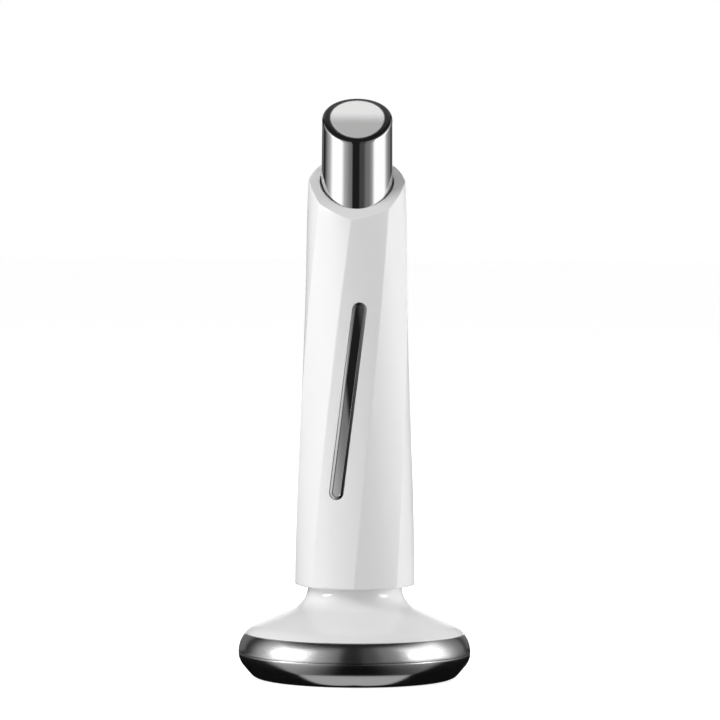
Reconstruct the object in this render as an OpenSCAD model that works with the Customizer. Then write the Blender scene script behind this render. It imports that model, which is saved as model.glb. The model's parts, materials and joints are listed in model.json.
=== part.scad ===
// A two-ended beauty wand: a heated, vibrating tip on top for the skin round the eyes,
// a twisted eight-sided handle, and a broad polished plate below for the cheeks,
// on which the wand also stands. Millimetres, +Z up, front towards -Y,
// origin on the axis at the face that rests on the table.

/* [Handle] */
// Height of the handle's lower edge above the table
handle_low_z = 20.8; // [19:0.1:23]
// Height of the slanting top cut above the ledge, on the axis
cut_rise = 11.7; // [9:0.1:14]
// Radius over the corners at the lower edge
handle_low_r = 13.5; // [13:0.1:15]
// Radius over the corners at the top cut
handle_top_r = 10.9; // [10.7:0.1:12]
// How far the sides swell out past a straight taper, half way up
handle_swell = 0.33; // [0:0.01:0.8]
// Number of facets
facets = 8; // [7:1:10]
// Turn from the lower edge to the top cut, in degrees
handle_twist = 45; // [0:1:60]
// Share of the turn that gathers towards the top
twist_gather = 0.27; // [0:0.01:0.6]
// Turn of the front corner at the lower edge, in degrees to the right
front_turn = -1; // [-10:1:10]
// Roundness of a facet across its width, from 0, flat, to 1, a circle
facet_crown = 0.52; // [0.2:0.01:0.9]
// Width of the flat on each corner
corner_w = 0.45; // [0.2:0.05:1]
// Slant of the top cut on the axis, in degrees
cut_slant = 31; // [20:0.5:38]
// Radius of the top cut's curve from front to back
cut_r = 61; // [50:1:120]
// Wall of the handle's cavity at the lower edge
cavity_low_r = 9.9; // [9.7:0.05:10.2]
// Radius of the handle's cavity under the top ledge
cavity_top_r = 8.95; // [8.9:0.05:9.2]

/* [Eye tip] */
// Radius of the tip at its foot
tip_r = 8.05; // [7.8:0.05:8.2]
// How much slimmer the tip is at its rim
tip_draft = 0.15; // [0:0.05:0.3]
// Height of the tip's face above the handle's ledge, on the axis
tip_rise = 25.7; // [24:0.1:30]
// Slant of the tip's face on the axis, in degrees
face_slant = 35; // [25:0.5:40]
// Radius of the face's curve from front to back
face_r = 75; // [40:1:120]
// Rounding of the tip's rim
rim_r = 1; // [0.8:0.1:1.8]
// Wall of the tip
tip_wall = 0.75; // [0.5:0.05:1]
// Gap round the tip in the handle's bore
tip_gap = 0.25; // [0.15:0.05:0.4]

/* [Contact strip] */
// Width of the strip over its frame
strip_w = 3; // [2.4:0.1:3.6]
// Length of the strip over its frame
strip_l = 44; // [36:0.5:48]
// Height of the strip's middle
strip_z = 62.75; // [58:0.25:66]
// Place of the strip's middle across the front
strip_x = -1.75; // [-2.5:0.05:-1]
// Lean of the strip, in degrees to the right
strip_lean = 6.9; // [3:0.1:10]
// Width of the frame's rim
strip_rim = 0.42; // [0.3:0.02:0.6]
// Depth of the polished floor below the rim
strip_sink = 0.22; // [0.1:0.02:0.4]
// How far the rim stands out of the handle
strip_proud = 0.06; // [0:0.02:0.2]

/* [Power button] */
// Height of the button's middle
button_z = 73; // [68:0.5:78]
// Width of the button
button_w = 6; // [5:0.1:6.6]
// Length of the button
button_l = 12; // [9:0.1:14]
// Travel of the button
button_travel = 0.4; // [0.2:0.05:0.4]
// Gap round the button
button_gap = 0.15; // [0.1:0.01:0.2]
// Radius of the light window above the button
window_r = 0.8; // [0.6:0.05:1]

/* [Charging socket] */
// Height of the socket's middle
socket_z = 36.3; // [36:0.1:37]
// Width of the socket's metal mouth
socket_w = 2.7; // [2.6:0.1:3.2]
// Length of the socket's metal mouth
socket_l = 7.4; // [7:0.1:8.2]
// Depth of the socket's shell
socket_depth = 5.2; // [4.6:0.1:5.4]

/* [Base] */
// Radius of the neck under the handle
neck_r = 10.6; // [10.4:0.05:11]
// Radius of the sweep from the neck to the shoulder
neck_sweep_r = 5.2; // [4:0.1:6]
// Slope of the shoulder, in degrees
shoulder_slope = 23.4; // [18:0.2:28]
// Greatest radius of the base
base_r = 26.1; // [25:0.05:28]
// Height of the seam at the greatest radius
seam_z = 5.7; // [5:0.05:6.5]
// Radius of the round shoulder above the seam
shoulder_r = 6.9; // [6.5:0.05:7.5]
// Radius of the plate's edge under the seam
plate_round_r = 4.4; // [3.6:0.1:5]
// Slope of the plate's straight taper, in degrees inwards from upright
plate_taper = 40.3; // [36:0.1:44]
// Radius of the plate's edge at the table
plate_low_r = 2.6; // [2:0.1:3.2]
// Height of the line where the white shell ends and the bright ring begins
ring_top_z = 10; // [9.5:0.1:10.5]
// Wall of the base's shell
base_wall = 2; // [1.6:0.1:2.4]
// Thickness of the massage plate
plate_t = 0.9; // [0.7:0.05:1.2]
// Height of the spigot that enters the handle
spigot_h = 8.2; // [7:0.1:8.4]

/* [Inside] */
// Radius of the battery cell
cell_r = 7; // [6.5:0.05:7]
// Length of the battery cell
cell_l = 43; // [40:0.5:44]
// Height of the battery's lower end
cell_z = 44; // [43.5:0.1:45]
// Room between the battery's upper end and the ledge under the tip
head_room = 13; // [12.5:0.1:15]
// Thickness of the circuit board
board_t = 1; // [0.8:0.1:1.2]
// Width of the circuit board
board_w = 9.6; // [8.5:0.1:9.8]
// Radius of the vibration motor
motor_r = 3.5; // [3:0.1:3.6]
// Length of the vibration motor's can
motor_l = 9.6; // [8:0.1:10]
// Radius of the motor's shaft
shaft_r = 0.5; // [0.4:0.05:0.6]
// Radius of the eccentric weight
weight_r = 3; // [2.4:0.1:3.4]
// Thickness of the insulated leads
lead_d = 0.8; // [0.6:0.05:1]

/* [Hidden] */
$fn = 64;
fit = 0.04;       // clearance of parts that sit in or on each other
eps = 0.01;       // overrun of a cut past a face
round_steps = 20; // steps of a drawn arc

// Handle
ledge_z = cell_z + cell_l + head_room; // ledge under the bore for the tip
handle_top_z = ledge_z + cut_rise;
tip_face_z = ledge_z + tip_rise;
facet_turn = 360 / facets;
half_facet = facet_turn / 2;
// a crowned facet is an arc: its half angle, its radius and how far its centre
// lies behind the axis, for a corner radius of 1
crown_half = facet_crown * half_facet;
crown_r = sin(half_facet) / sin(crown_half);
crown_in = crown_r * cos(crown_half) - cos(half_facet);
loft_top_z = handle_top_z + 8;
loft_steps = 42;
side_steps = 3;
bore_r = tip_r + tip_gap;
cut_y = cut_r * sin(cut_slant);
cut_z = handle_top_z - cut_r * cos(cut_slant);
edge_round = 0.4; // rounding under the handle's lower edge

// Eye tip
tip_low_z = ledge_z + 1.5;
tip_rim_r = tip_r - tip_draft;
tip_core_r = tip_rim_r - tip_wall;
face_y = face_r * sin(face_slant);
face_z = tip_face_z - face_r * cos(face_slant);
face_wall = 0.9;
heater_t = 0.5;
tip_flat_r = tip_rim_r - rim_r;
seal_h = 3;

// Contact strip
strip_run = strip_l - strip_w;
strip_depth = 1.7;
strip_post_r = 0.7;
strip_post_y = strip_depth + 0.7 - facet_r(strip_z);

// Power button
button_proud = 0.3;
button_lip_t = 1.2;       // wall left in front of the button's flange
button_top_y = facet_r(button_z) + button_proud;
flange_lip = 0.7;
flange_t = 0.6;
flange_y = facet_r(button_z) - button_lip_t;
board_y = 6.5;            // front face of the circuit board
board_back_y = board_y + board_t;
dish_r = 24;
dish_depth = 0.25;
switch_w = 4.5;
switch_h = 1;
plunger_r = 1;
plunger_h = 0.5;
plunger_in = 0.35;        // how far the plunger reaches into the switch
stem_r = 1.3;
switch_y = board_back_y + switch_h;
window_z = button_z + button_l / 2 + 4;
led_w = 1.6;
led_h = 0.6;

// Charging socket
socket_turn = corner_turn(socket_z) + half_facet + facet_turn * 3;
socket_set_in = 0.45;     // how far the socket's mouth lies behind the facet
socket_mouth_r = facet_r(socket_z) - socket_set_in;
socket_back_r = socket_mouth_r - socket_depth;
charge_board_y = socket_back_r - fit; // outer face of the socket's board
charge_board_t = 0.8;
charge_board_w = 8.6;
charge_board_l = 10;

// Inside
cell_y = -0.9;
cell_bore_r = cell_r + 0.12;
chassis_r = 8.7;
chassis_low_z = handle_low_z + spigot_h + 0.4;
chassis_top_z = ledge_z - 3;
foot_h = 1.9;
tab_w = 3;
tab_t = 0.2;
head_z = cell_z + cell_l + 1.5;
board_low_z = cell_z - 0.8;
board_top_z = chassis_top_z - 2;
board_screw_x = 2.8;
heater_lead_y = 6.2;
motor_lead_z = head_z + 1.9;
lead_ring_r = chassis_r - 0.1;
carrier_in_r = 5;
carrier_out_r = tip_core_r - 0.15;
motor_z = ledge_z + 0.5;
weight_z = motor_z + motor_l + 0.9;
weight_h = 3.4;
carrier_top_z = weight_z + weight_h + 1;
motor_lead_y = -3;
lead_way_r = 1.1;         // radius of the ways the leads run through
lead_bow = 1.1; // reach of a lead's bend
carrier_screw_x = 6.3;
neck_screw_x = 6;
neck_floor_z = handle_low_z + spigot_h - 3;

// Base
spigot_r = cavity_low_r - 0.1;
ring_in_r = base_r - 3.9;
skirt_r = ring_in_r - 0.08;
skirt_low_z = seam_z - 1.2;
seam_gap = 0.12;
// radius where the plate's lower edge runs into its flat, so that the straight
// taper touches the round edges above and below it
plate_flat_r = base_r - plate_round_r
    + ((plate_low_r - seam_z) * sin(plate_taper) + plate_round_r - plate_low_r) / cos(plate_taper);
plate_screw_r = plate_flat_r - 5.2;
plate_screw_l = 6.6;
plate_seat_h = 1.3;       // height of a screw head's seat above the plate
neck_screw_l = 7;
// the base's outline from the neck to the seam is a hollow sweep, a straight
// shoulder and a round edge that all touch each other
shoulder_centre = [base_r - shoulder_r, seam_z];
shoulder_line_r = shoulder_centre[0] + shoulder_r * sin(shoulder_slope);
shoulder_line_z = shoulder_centre[1] + shoulder_r * cos(shoulder_slope);
sweep_centre_r = neck_r + neck_sweep_r;
sweep_end_r = sweep_centre_r - neck_sweep_r * sin(shoulder_slope);
sweep_end_z = shoulder_line_z + (shoulder_line_r - sweep_end_r) * tan(shoulder_slope);
sweep_centre_z = sweep_end_z + neck_sweep_r * cos(shoulder_slope);
boss_r = 2.4;
boss_top_z = shoulder_line_z + (shoulder_line_r - plate_screw_r - boss_r) * tan(shoulder_slope) - 0.3;
plate_floor_z = plate_t + 0.06;
oring_r = 0.55;
oring_rise = 4.4;         // height of the neck's seal above the handle's lower edge
oring_z = handle_low_z + oring_rise;
oring_ring_r = cavity_low_r - oring_r - fit;

// ---- Formulas of the handle ----

// Share of the way from the lower edge to the top cut
function rise(z) = (z - handle_low_z) / (handle_top_z - handle_low_z);

// Radius over the corners: a straight taper with a small swell
function corner_r(z) =
    handle_low_r + (handle_top_r - handle_low_r) * rise(z)
    + 4 * handle_swell * rise(z) * (1 - rise(z));

// Turn of the corner nearest the front, in degrees from the front to the right
function corner_turn(z) =
    front_turn + handle_twist * ((1 - twist_gather) * rise(z) + twist_gather * pow(rise(z), 2));

// A point on a facet: turn is the facet's middle, a the angle on its arc
function facet_point(r, turn, a, z) =
    let (
        out = r * (crown_r * cos(a) - crown_in),
        side = r * crown_r * sin(a)
    )
    [out * sin(turn) + side * cos(turn), side * sin(turn) - out * cos(turn), z];

// Ring of points round the handle at a height, grown or shrunk by a distance
function ring(z, grow) =
    let (
        r = corner_r(z) + grow,
        reach = crown_half - (corner_w / 2) / (r * crown_r) * 180 / PI
    )
    [for (k = [0 : facets - 1]) for (s = [0 : side_steps])
        facet_point(r, corner_turn(z) + half_facet + facet_turn * k,
            reach * (2 * s / side_steps - 1), z)];

// Radial distance of a facet's middle from the axis
function facet_r(z) = corner_r(z) * (crown_r - crown_in);

// Solid through rings of points, lowest first, each with as many points
module loft(rings) {
    count = len(rings[0]);
    last = len(rings) - 1;
    polyhedron(
        points = [for (ring = rings) each ring],
        faces = concat(
            [[for (i = [0 : count - 1]) i]],
            [[for (i = [count - 1 : -1 : 0]) last * count + i]],
            [for (j = [0 : last - 1]) for (i = [0 : count - 1])
                let (a = j * count + i, b = j * count + (i + 1) % count)
                each [[a, a + count, b], [b, a + count, b + count]]]
        ),
        convexity = 6
    );
}

// The twisted handle as a solid between two heights
module handle_form(grow, low_z, high_z, steps) {
    loft([for (i = [0 : steps]) ring(low_z + (high_z - low_z) * i / steps, grow)]);
}

// ---- General shapes ----

module disc(r, low_z, high_z) {
    translate([0, 0, low_z])
        cylinder(r = r, h = high_z - low_z);
}

module pipe(out_r, in_r, low_z, high_z) {
    difference() {
        disc(out_r, low_z, high_z);
        disc(in_r, low_z - eps, high_z + eps);
    }
}

// Flat outline with round ends, upright
module slot_outline(w, l) {
    run = l - w;
    for (side = [-1, 1])
        translate([0, side * run / 2])
            circle(d = w);
    square([w, run], center = true);
}

// A slot-shaped bar that points to the back, between two distances from the axis
module back_bar(w, l, near_y, far_y, z) {
    translate([0, far_y, z])
        rotate([90, 0, 0])
            linear_extrude(height = far_y - near_y)
                slot_outline(w, l);
}

// A block given by its two corners
module block(low, high) {
    translate(low)
        cube(high - low);
}

function unit(v) = v / norm(v);

// A route with each inner corner drawn as a short bow
function bowed(route) =
    let (last = len(route) - 1)
    concat(
        [route[0]],
        [for (i = [1 : last - 1])
            let (
                back = route[i - 1] - route[i],
                on = route[i + 1] - route[i],
                reach = min(lead_bow, norm(back) / 2.2, norm(on) / 2.2),
                from = route[i] + reach * unit(back),
                to = route[i] + reach * unit(on)
            )
            for (t = [0 : 1 / 3 : 1])
                pow(1 - t, 2) * from + 2 * t * (1 - t) * route[i] + t * t * to],
        [route[last]]
    );

// An insulated lead along a route, swept as one tube; across is a direction
// that the route never runs along
module lead(route, across) {
    path = bowed(route);
    last = len(path) - 1;
    loft([for (i = [0 : last])
        let (
            way = unit(unit(path[min(i + 1, last)] - path[min(i, last - 1)])
                + unit(path[max(i, 1)] - path[max(i - 1, 0)])),
            u = unit(across - (across * way) * way),
            v = cross(way, u)
        )
        [for (k = [0 : 7]) path[i] + lead_d / 2 * (cos(45 * k) * u + sin(45 * k) * v)]]);
}

// Pan-head screw along +Z, its head's underside at the origin
module screw(shank_r, length, head_r, head_h) {
    difference() {
        union() {
            cylinder(r = shank_r, h = length);
            translate([0, 0, -head_h])
                cylinder(r1 = head_r * 0.8, r2 = head_r, h = head_h);
        }
        // cross recess
        for (turn = [0, 90])
            rotate([0, 0, turn])
                translate([-head_r * 0.55, -head_r * 0.12, -head_h - eps])
                    cube([head_r * 1.1, head_r * 0.24, head_h * 0.55]);
    }
}

// ---- Handle ----

module handle_shell() {
    color("white")
        difference() {
            intersection() {
                handle_blank();
                // the top is cut to a gentle curve that slants down to the front
                translate([0, cut_y, cut_z])
                    rotate([0, 90, 0])
                        cylinder(r = cut_r, h = 4 * handle_low_r, center = true);
            }
            handle_cavity();
            strip_seat();
            button_opening();
            translate([0, button_top_y, window_z])
                rotate([90, 0, 0])
                    cylinder(r = window_r + fit, h = button_top_y);
            socket_opening();
        }
}

// The outer form, with its lower edge rounded in two steps
module handle_blank() {
    loft(concat(
        [ring(handle_low_z, -edge_round), ring(handle_low_z + edge_round / 3, -edge_round / 3)],
        [for (i = [0 : loft_steps])
            ring(handle_low_z + edge_round
                + (loft_top_z - handle_low_z - edge_round) * i / loft_steps, 0)]
    ));
}

// Spigot bore, tapered cavity up to the ledge, and the bore for the tip
module handle_cavity() {
    cone_z = handle_low_z + spigot_h + 0.3;
    disc(cavity_low_r, handle_low_z - eps, cone_z);
    translate([0, 0, cone_z - eps])
        cylinder(r1 = cavity_low_r, r2 = cavity_top_r, h = ledge_z - cone_z + eps);
    disc(bore_r, ledge_z - eps, loft_top_z + eps);
}

// The button's opening, with a wider pocket inside that its flange sits in
module button_opening() {
    back_bar(button_w + 2 * button_gap, button_l + 2 * button_gap, 0, 2 * button_top_y, button_z);
    back_bar(button_w + 2 * flange_lip + 0.5, button_l + 2 * flange_lip + 0.5, 0, flange_y, button_z);
}

// The socket's opening, square to the facet it is in
module socket_opening() {
    on_socket_facet()
        back_bar(socket_w + 0.6, socket_l + 0.6, 0, 2 * handle_low_r, socket_z);
}

// Turns what points to the back so that it points out of the socket's facet
module on_socket_facet() {
    rotate([0, 0, socket_turn - 180])
        children();
}

// ---- Contact strip ----

// Straight sided prism of the strip's outline, from the axis out to the front
module strip_prism(w, l) {
    rotate([90, 0, 0])
        linear_extrude(height = 2 * handle_low_r)
            translate([strip_x, strip_z])
                rotate(-strip_lean)
                    slot_outline(w, l);
}

// Pocket for the strip, with a floor that follows the handle and a hole for its post
module strip_seat() {
    difference() {
        strip_prism(strip_w + 2 * fit, strip_l + 2 * fit);
        handle_form(-strip_depth - fit, strip_z - strip_l / 2 - 1, strip_z + strip_l / 2 + 1, 20);
    }
    translate([strip_x, 0, strip_z])
        rotate([90, 0, 0])
            cylinder(r = strip_post_r + fit, h = handle_low_r);
}

// A layer of the handle's own twisted surface, over the strip's height
module strip_layer(out_grow, in_grow) {
    low_z = strip_z - strip_l / 2 - 1;
    high_z = strip_z + strip_l / 2 + 1;
    difference() {
        handle_form(out_grow, low_z, high_z, 20);
        handle_form(in_grow, low_z - 1, high_z + 1, 20);
    }
}

module strip_frame() {
    color("silver")
        intersection() {
            strip_layer(strip_proud, -strip_depth);
            difference() {
                strip_prism(strip_w, strip_l);
                strip_prism(strip_w - 2 * strip_rim, strip_l - 2 * strip_rim);
            }
        }
}

module strip_contact() {
    color("gray") {
        intersection() {
            strip_layer(-strip_sink, -strip_depth);
            strip_prism(strip_w - 2 * strip_rim - fit, strip_l - 2 * strip_rim - fit);
        }
        // solder post on the strip's back
        translate([strip_x, strip_post_y, strip_z])
            rotate([90, 0, 0])
                cylinder(r = strip_post_r, h = 1);
    }
}

// ---- Power button and light ----

module power_button() {
    color("white") {
        difference() {
            back_bar(button_w, button_l, flange_y - flange_t, button_top_y, button_z);
            // shallow dish for the fingertip
            translate([0, button_top_y + dish_r - dish_depth, button_z])
                sphere(r = dish_r, $fn = 96);
        }
        back_bar(button_w + 2 * flange_lip, button_l + 2 * flange_lip,
            flange_y - flange_t - fit, flange_y - fit, button_z);
        // stem that presses the switch
        translate([0, flange_y - flange_t, button_z])
            rotate([90, 0, 0])
                cylinder(r = stem_r, h = flange_y - flange_t - switch_y - plunger_h - fit);
    }
}

module tact_switch() {
    color("dimgray")
        difference() {
            block([-switch_w / 2, board_back_y, button_z - switch_w / 2],
                [switch_w / 2, switch_y, button_z + switch_w / 2]);
            translate([0, switch_y + eps, button_z])
                rotate([90, 0, 0])
                    cylinder(r = plunger_r + 0.05, h = plunger_in + button_travel + 0.1);
        }
}

module switch_plunger() {
    color("black")
        translate([0, switch_y + plunger_h, button_z])
            rotate([90, 0, 0])
                cylinder(r = plunger_r, h = plunger_h + plunger_in);
}

module indicator_lens() {
    color("lightblue")
        translate([0, facet_r(window_z) + 0.05, window_z])
            rotate([90, 0, 0])
                cylinder(r = window_r, h = facet_r(window_z) + 0.05 - board_back_y - led_h - fit);
}

module status_led() {
    color("khaki")
        block([-led_w / 2, board_back_y, window_z - led_w / 2],
            [led_w / 2, board_back_y + led_h, window_z + led_w / 2]);
}

// ---- Charging socket ----

module charge_socket() {
    color("silver")
        on_socket_facet()
            difference() {
                back_bar(socket_w, socket_l, socket_back_r, socket_mouth_r, socket_z);
                back_bar(socket_w - 0.6, socket_l - 0.6, socket_back_r + 0.4,
                    socket_mouth_r + eps, socket_z);
            }
}

module charge_tongue() {
    color("black")
        on_socket_facet()
            block([-0.3, socket_back_r + 0.4, socket_z - socket_l / 2 + 1.6],
                [0.3, socket_mouth_r - 0.8, socket_z + socket_l / 2 - 1.6]);
}

module charge_board() {
    color("darkgreen")
        on_socket_facet()
            difference() {
                block([-charge_board_w / 2, charge_board_y - charge_board_t,
                        socket_z - charge_board_l / 2],
                    [charge_board_w / 2, charge_board_y, socket_z + charge_board_l / 2]);
                for (side = [-1, 1])
                    translate([side * 3, charge_board_y + eps, socket_z])
                        rotate([90, 0, 0])
                            cylinder(r = 0.6 + fit, h = 2);
            }
}

module charge_screws() {
    color("silver")
        on_socket_facet()
            for (side = [-1, 1])
                translate([side * 3, charge_board_y, socket_z])
                    rotate([90, 0, 0])
                        screw(0.6, 3.4, 1.1, 0.6);
}

// ---- Eye tip ----

// Height of the tip's face over a point, from front to back
function face_height(y) = face_z + sqrt(pow(face_r, 2) - pow(y - face_y, 2));

// How far the rounded rim lies below the face at a radius
function rim_drop(r) =
    r <= tip_flat_r ? 0 : rim_r - sqrt(max(0, pow(rim_r, 2) - pow(r - tip_flat_r, 2)));

// Ring of points on the tip's top at a radius
function tip_ring(r) =
    [for (i = [0 : 71]) let (a = 5 * i)
        [r * cos(a), r * sin(a), face_height(r * sin(a)) - rim_drop(r)]];

module tip_solid() {
    rim = [for (a = [0 : 15 : 90]) tip_flat_r + rim_r * cos(a)];
    face = [for (s = [3 : -1 : 1]) tip_flat_r * s / 4];
    foot = [for (i = [0 : 71]) [tip_r * cos(5 * i), tip_r * sin(5 * i), tip_low_z]];
    rings = concat([foot], [for (r = rim) tip_ring(r)], [for (r = face) tip_ring(r)]);
    count = 72;
    last = len(rings) - 1;
    polyhedron(
        points = concat([for (ring = rings) each ring], [[0, 0, face_height(0)]]),
        faces = concat(
            [[for (i = [0 : count - 1]) i]],
            [for (j = [0 : last - 1]) for (i = [0 : count - 1])
                let (a = j * count + i, b = j * count + (i + 1) % count)
                each [[a, a + count, b], [b, a + count, b + count]]],
            [for (i = [0 : count - 1])
                [last * count + i, (last + 1) * count, last * count + (i + 1) % count]]
        ),
        convexity = 4
    );
}

// Everything below a surface that runs inside the tip's face at a distance
module under_face(distance) {
    translate([0, face_y, face_z])
        rotate([0, 90, 0])
            cylinder(r = face_r - distance, h = 4 * tip_r, center = true, $fn = 128);
}

module eye_tip() {
    color("silver")
        difference() {
            tip_solid();
            intersection() {
                disc(tip_core_r, tip_low_z - eps, tip_face_z + 10);
                under_face(face_wall);
            }
        }
}

module tip_seal() {
    color("dimgray")
        pipe(bore_r - fit, tip_r + fit, tip_low_z, tip_low_z + seal_h);
}

module tip_heater() {
    color("orange")
        intersection() {
            disc(tip_core_r - 0.6, carrier_top_z, tip_face_z + 10);
            difference() {
                under_face(face_wall + fit);
                under_face(face_wall + fit + heater_t);
            }
        }
}

module tip_thermistor() {
    bead_y = 2.5;
    color("darkred")
        intersection() {
            translate([0, bead_y, 0])
                disc(0.8, carrier_top_z, tip_face_z + 10);
            difference() {
                under_face(face_wall + heater_t + 2 * fit);
                under_face(face_wall + heater_t + 1.4);
            }
        }
}

module tip_carrier() {
    color("dimgray")
        difference() {
            union() {
                disc(chassis_r, chassis_top_z, ledge_z - fit);
                disc(bore_r - 0.3, ledge_z - 1, tip_low_z - fit);
                disc(carrier_out_r, ledge_z, carrier_top_z);
            }
            disc(carrier_in_r, motor_z, carrier_top_z + eps);
            // ways for the motor's leads and the heater's
            translate([0, motor_lead_y, 0])
                disc(lead_way_r, chassis_top_z - eps, motor_z + eps);
            block([-1.6, heater_lead_y - 0.7, chassis_top_z - eps],
                [1.6, heater_lead_y + 0.7, carrier_top_z + eps]);
            block([-1.8, heater_lead_y - 0.7, chassis_top_z - eps], [1.8, chassis_r, ledge_z + 0.8]);
            for (side = [-1, 1])
                translate([side * carrier_screw_x, 0, 0])
                    disc(0.8 + fit, chassis_top_z - eps, ledge_z - 0.6);
        }
}

module carrier_screws() {
    color("silver")
        for (side = [-1, 1])
            translate([side * carrier_screw_x, 0, head_z + 1.5])
                screw(0.8, ledge_z - head_z - 2.4, 1.5, 0.9);
}

// ---- Vibration motor ----

module motor_sleeve() {
    color("black")
        pipe(carrier_in_r - fit, motor_r + fit, motor_z + fit, motor_z + motor_l);
}

module motor_can() {
    color("silver")
        difference() {
            disc(motor_r, motor_z + 1, motor_z + motor_l);
            disc(motor_r - 0.5, motor_z + 0.9, motor_z + motor_l - 0.7);
            disc(shaft_r + 0.06, motor_z, motor_z + motor_l + eps);
        }
}

module motor_endcap() {
    color("ivory")
        difference() {
            disc(motor_r - 0.02, motor_z + fit, motor_z + 1 - fit);
            disc(shaft_r + 0.06, motor_z + 0.5, motor_z + 1);
        }
}

module motor_shaft() {
    color("gray")
        disc(shaft_r, motor_z + 0.6, weight_z + weight_h + 0.3);
}

module motor_armature() {
    color("peru")
        pipe(motor_r - 1.1, shaft_r + fit / 2, motor_z + 2, motor_z + motor_l - 1.7);
}

module eccentric_weight() {
    color("darkgray")
        difference() {
            union() {
                disc(1.3, weight_z, weight_z + weight_h);
                intersection() {
                    disc(weight_r, weight_z, weight_z + weight_h);
                    block([-weight_r, -weight_r, weight_z], [weight_r, 0, weight_z + weight_h]);
                }
            }
            disc(shaft_r + fit / 2, weight_z - eps, weight_z + weight_h + eps);
        }
}

// ---- Chassis, board and battery ----

module chassis() {
    rib = 2.5;
    color("gainsboro")
        difference() {
            disc(chassis_r, chassis_low_z, chassis_top_z - fit);
            // pocket for the cell, its ends and its pads
            translate([0, cell_y, 0])
                disc(cell_bore_r, cell_z - 1.2, cell_z + cell_l + 1.2);
            // seat of the circuit board
            block([-chassis_r, board_y - fit, board_low_z - 1.5],
                [chassis_r, chassis_r, chassis_top_z]);
            block([-2.6, 0, cell_z - 1.2], [2.6, chassis_r, cell_z + cell_l + 1.2]);
            // windows at the front, between the ribs
            for (i = [0 : 2])
                block([-chassis_r, -chassis_r - 1, cell_z + rib + i * (cell_l - rib) / 3],
                    [chassis_r, -3, cell_z + (i + 1) * (cell_l - rib) / 3]);
            // room for the socket and its board
            on_socket_facet() {
                block([-charge_board_w / 2 - 0.2, charge_board_y - charge_board_t - fit,
                        chassis_low_z + foot_h],
                    [charge_board_w / 2 + 0.2, chassis_r + 1, cell_z]);
                for (side = [-1, 1])
                    translate([side * 3, charge_board_y, socket_z])
                        rotate([90, 0, 0])
                            cylinder(r = 0.6 + fit, h = 3.7);
            }
            // lightening pocket at the front of the foot
            block([-4, -chassis_r - 1, chassis_low_z + foot_h], [4, -4.6, cell_z - 2.6]);
            // screws from below and to the carrier above
            for (side = [-1, 1]) {
                translate([side * neck_screw_x, 0, 0])
                    disc(1 + fit, chassis_low_z - eps, chassis_low_z + 6);
                translate([side * carrier_screw_x, 0, 0]) {
                    disc(1.65, head_z - 0.4, head_z + 1.5);
                    disc(0.8 + fit, head_z - 0.4, chassis_top_z + eps);
                }
                translate([side * board_screw_x, board_y, board_top_z - 2])
                    rotate([90, 0, 0])
                        cylinder(r = 0.6 + fit, h = 2.6);
            }
            // ways for the leads of the motor, the lower plate and the strip
            translate([0, motor_lead_y, 0])
                disc(lead_way_r, head_z, chassis_top_z + eps);
            block([-lead_way_r, motor_lead_y - lead_way_r, motor_lead_z - 0.8],
                [lead_way_r, chassis_r, motor_lead_z + 0.8]);
            block([-1.6, -1.3, chassis_low_z - eps], [1.3, board_y + 0.2, cell_z - 1]);
            pipe(chassis_r + eps, lead_ring_r - 0.6, strip_z - 0.6, strip_z + 0.6);
        }
}

module circuit_board() {
    color("darkgreen")
        difference() {
            block([-board_w / 2, board_y, board_low_z], [board_w / 2, board_back_y, board_top_z]);
            for (side = [-1, 1])
                translate([side * board_screw_x, board_back_y + eps, board_top_z - 2])
                    rotate([90, 0, 0])
                        cylinder(r = 0.6 + fit, h = 3);
        }
}

module board_screws() {
    color("silver")
        for (side = [-1, 1])
            translate([side * board_screw_x, board_back_y, board_top_z - 2])
                rotate([90, 0, 0])
                    screw(0.6, board_t + 2.4, 0.9, 0.6);
}

// A block on the board's back, centred across it, from a height up
module on_board(size, low_z) {
    translate([-size[0] / 2, board_back_y, low_z])
        cube(size);
}

// Charger chip, controller, heater transistor, coil and small parts
module board_parts() {
    color("black") {
        on_board([4, 1, 4], board_low_z + 6.8);
        on_board([3.6, 0.9, 4.6], button_z - 15);
        on_board([3, 1, 3], window_z + led_w / 2 + 2.2);
        translate([0, board_back_y + 1.1, button_z - 7])
            rotate([90, 0, 0])
                cylinder(r = 1.6, h = 1.1);
        for (z = [board_low_z + 12.2, board_low_z + 13.4, button_z - 9.4])
            on_board([1.6, 0.5, 0.7], z);
    }
}

module battery_cell() {
    color("royalblue")
        translate([0, cell_y, 0])
            difference() {
                disc(cell_r, cell_z, cell_z + cell_l);
                // rolled edge round the positive end
                pipe(cell_r - 0.6, cell_r - 1.2, cell_z + cell_l - 0.5, cell_z + cell_l + eps);
            }
}

module battery_tabs() {
    color("silver")
        for (z = [cell_z - 0.05 - tab_t, cell_z + cell_l + 0.05])
            block([-tab_w / 2, cell_y - tab_w, z], [tab_w / 2, board_y - fit, z + tab_t]);
}

module battery_pads() {
    color("black") {
        translate([0, cell_y, 0])
            difference() {
                disc(cell_r - 0.6, cell_z - 1.15, cell_z - 0.3);
                disc(1.4, cell_z - 2, cell_z);
            }
        translate([0, cell_y, 0])
            difference() {
                disc(cell_r - 0.6, cell_z + cell_l + 0.3, cell_z + cell_l + 1.15);
                block([-2, 3, cell_z + cell_l], [2, 7, cell_z + cell_l + 2]);
            }
    }
}

// ---- Base ----

// Hollow sweep, shifted outwards from the surface by a distance (inwards if negative)
function sweep_points(shift) =
    [for (i = [0 : round_steps]) let (a = 180 + (90 - shoulder_slope) * i / round_steps)
        [sweep_centre_r + (neck_sweep_r - shift) * cos(a),
         sweep_centre_z + (neck_sweep_r - shift) * sin(a)]];

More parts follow.
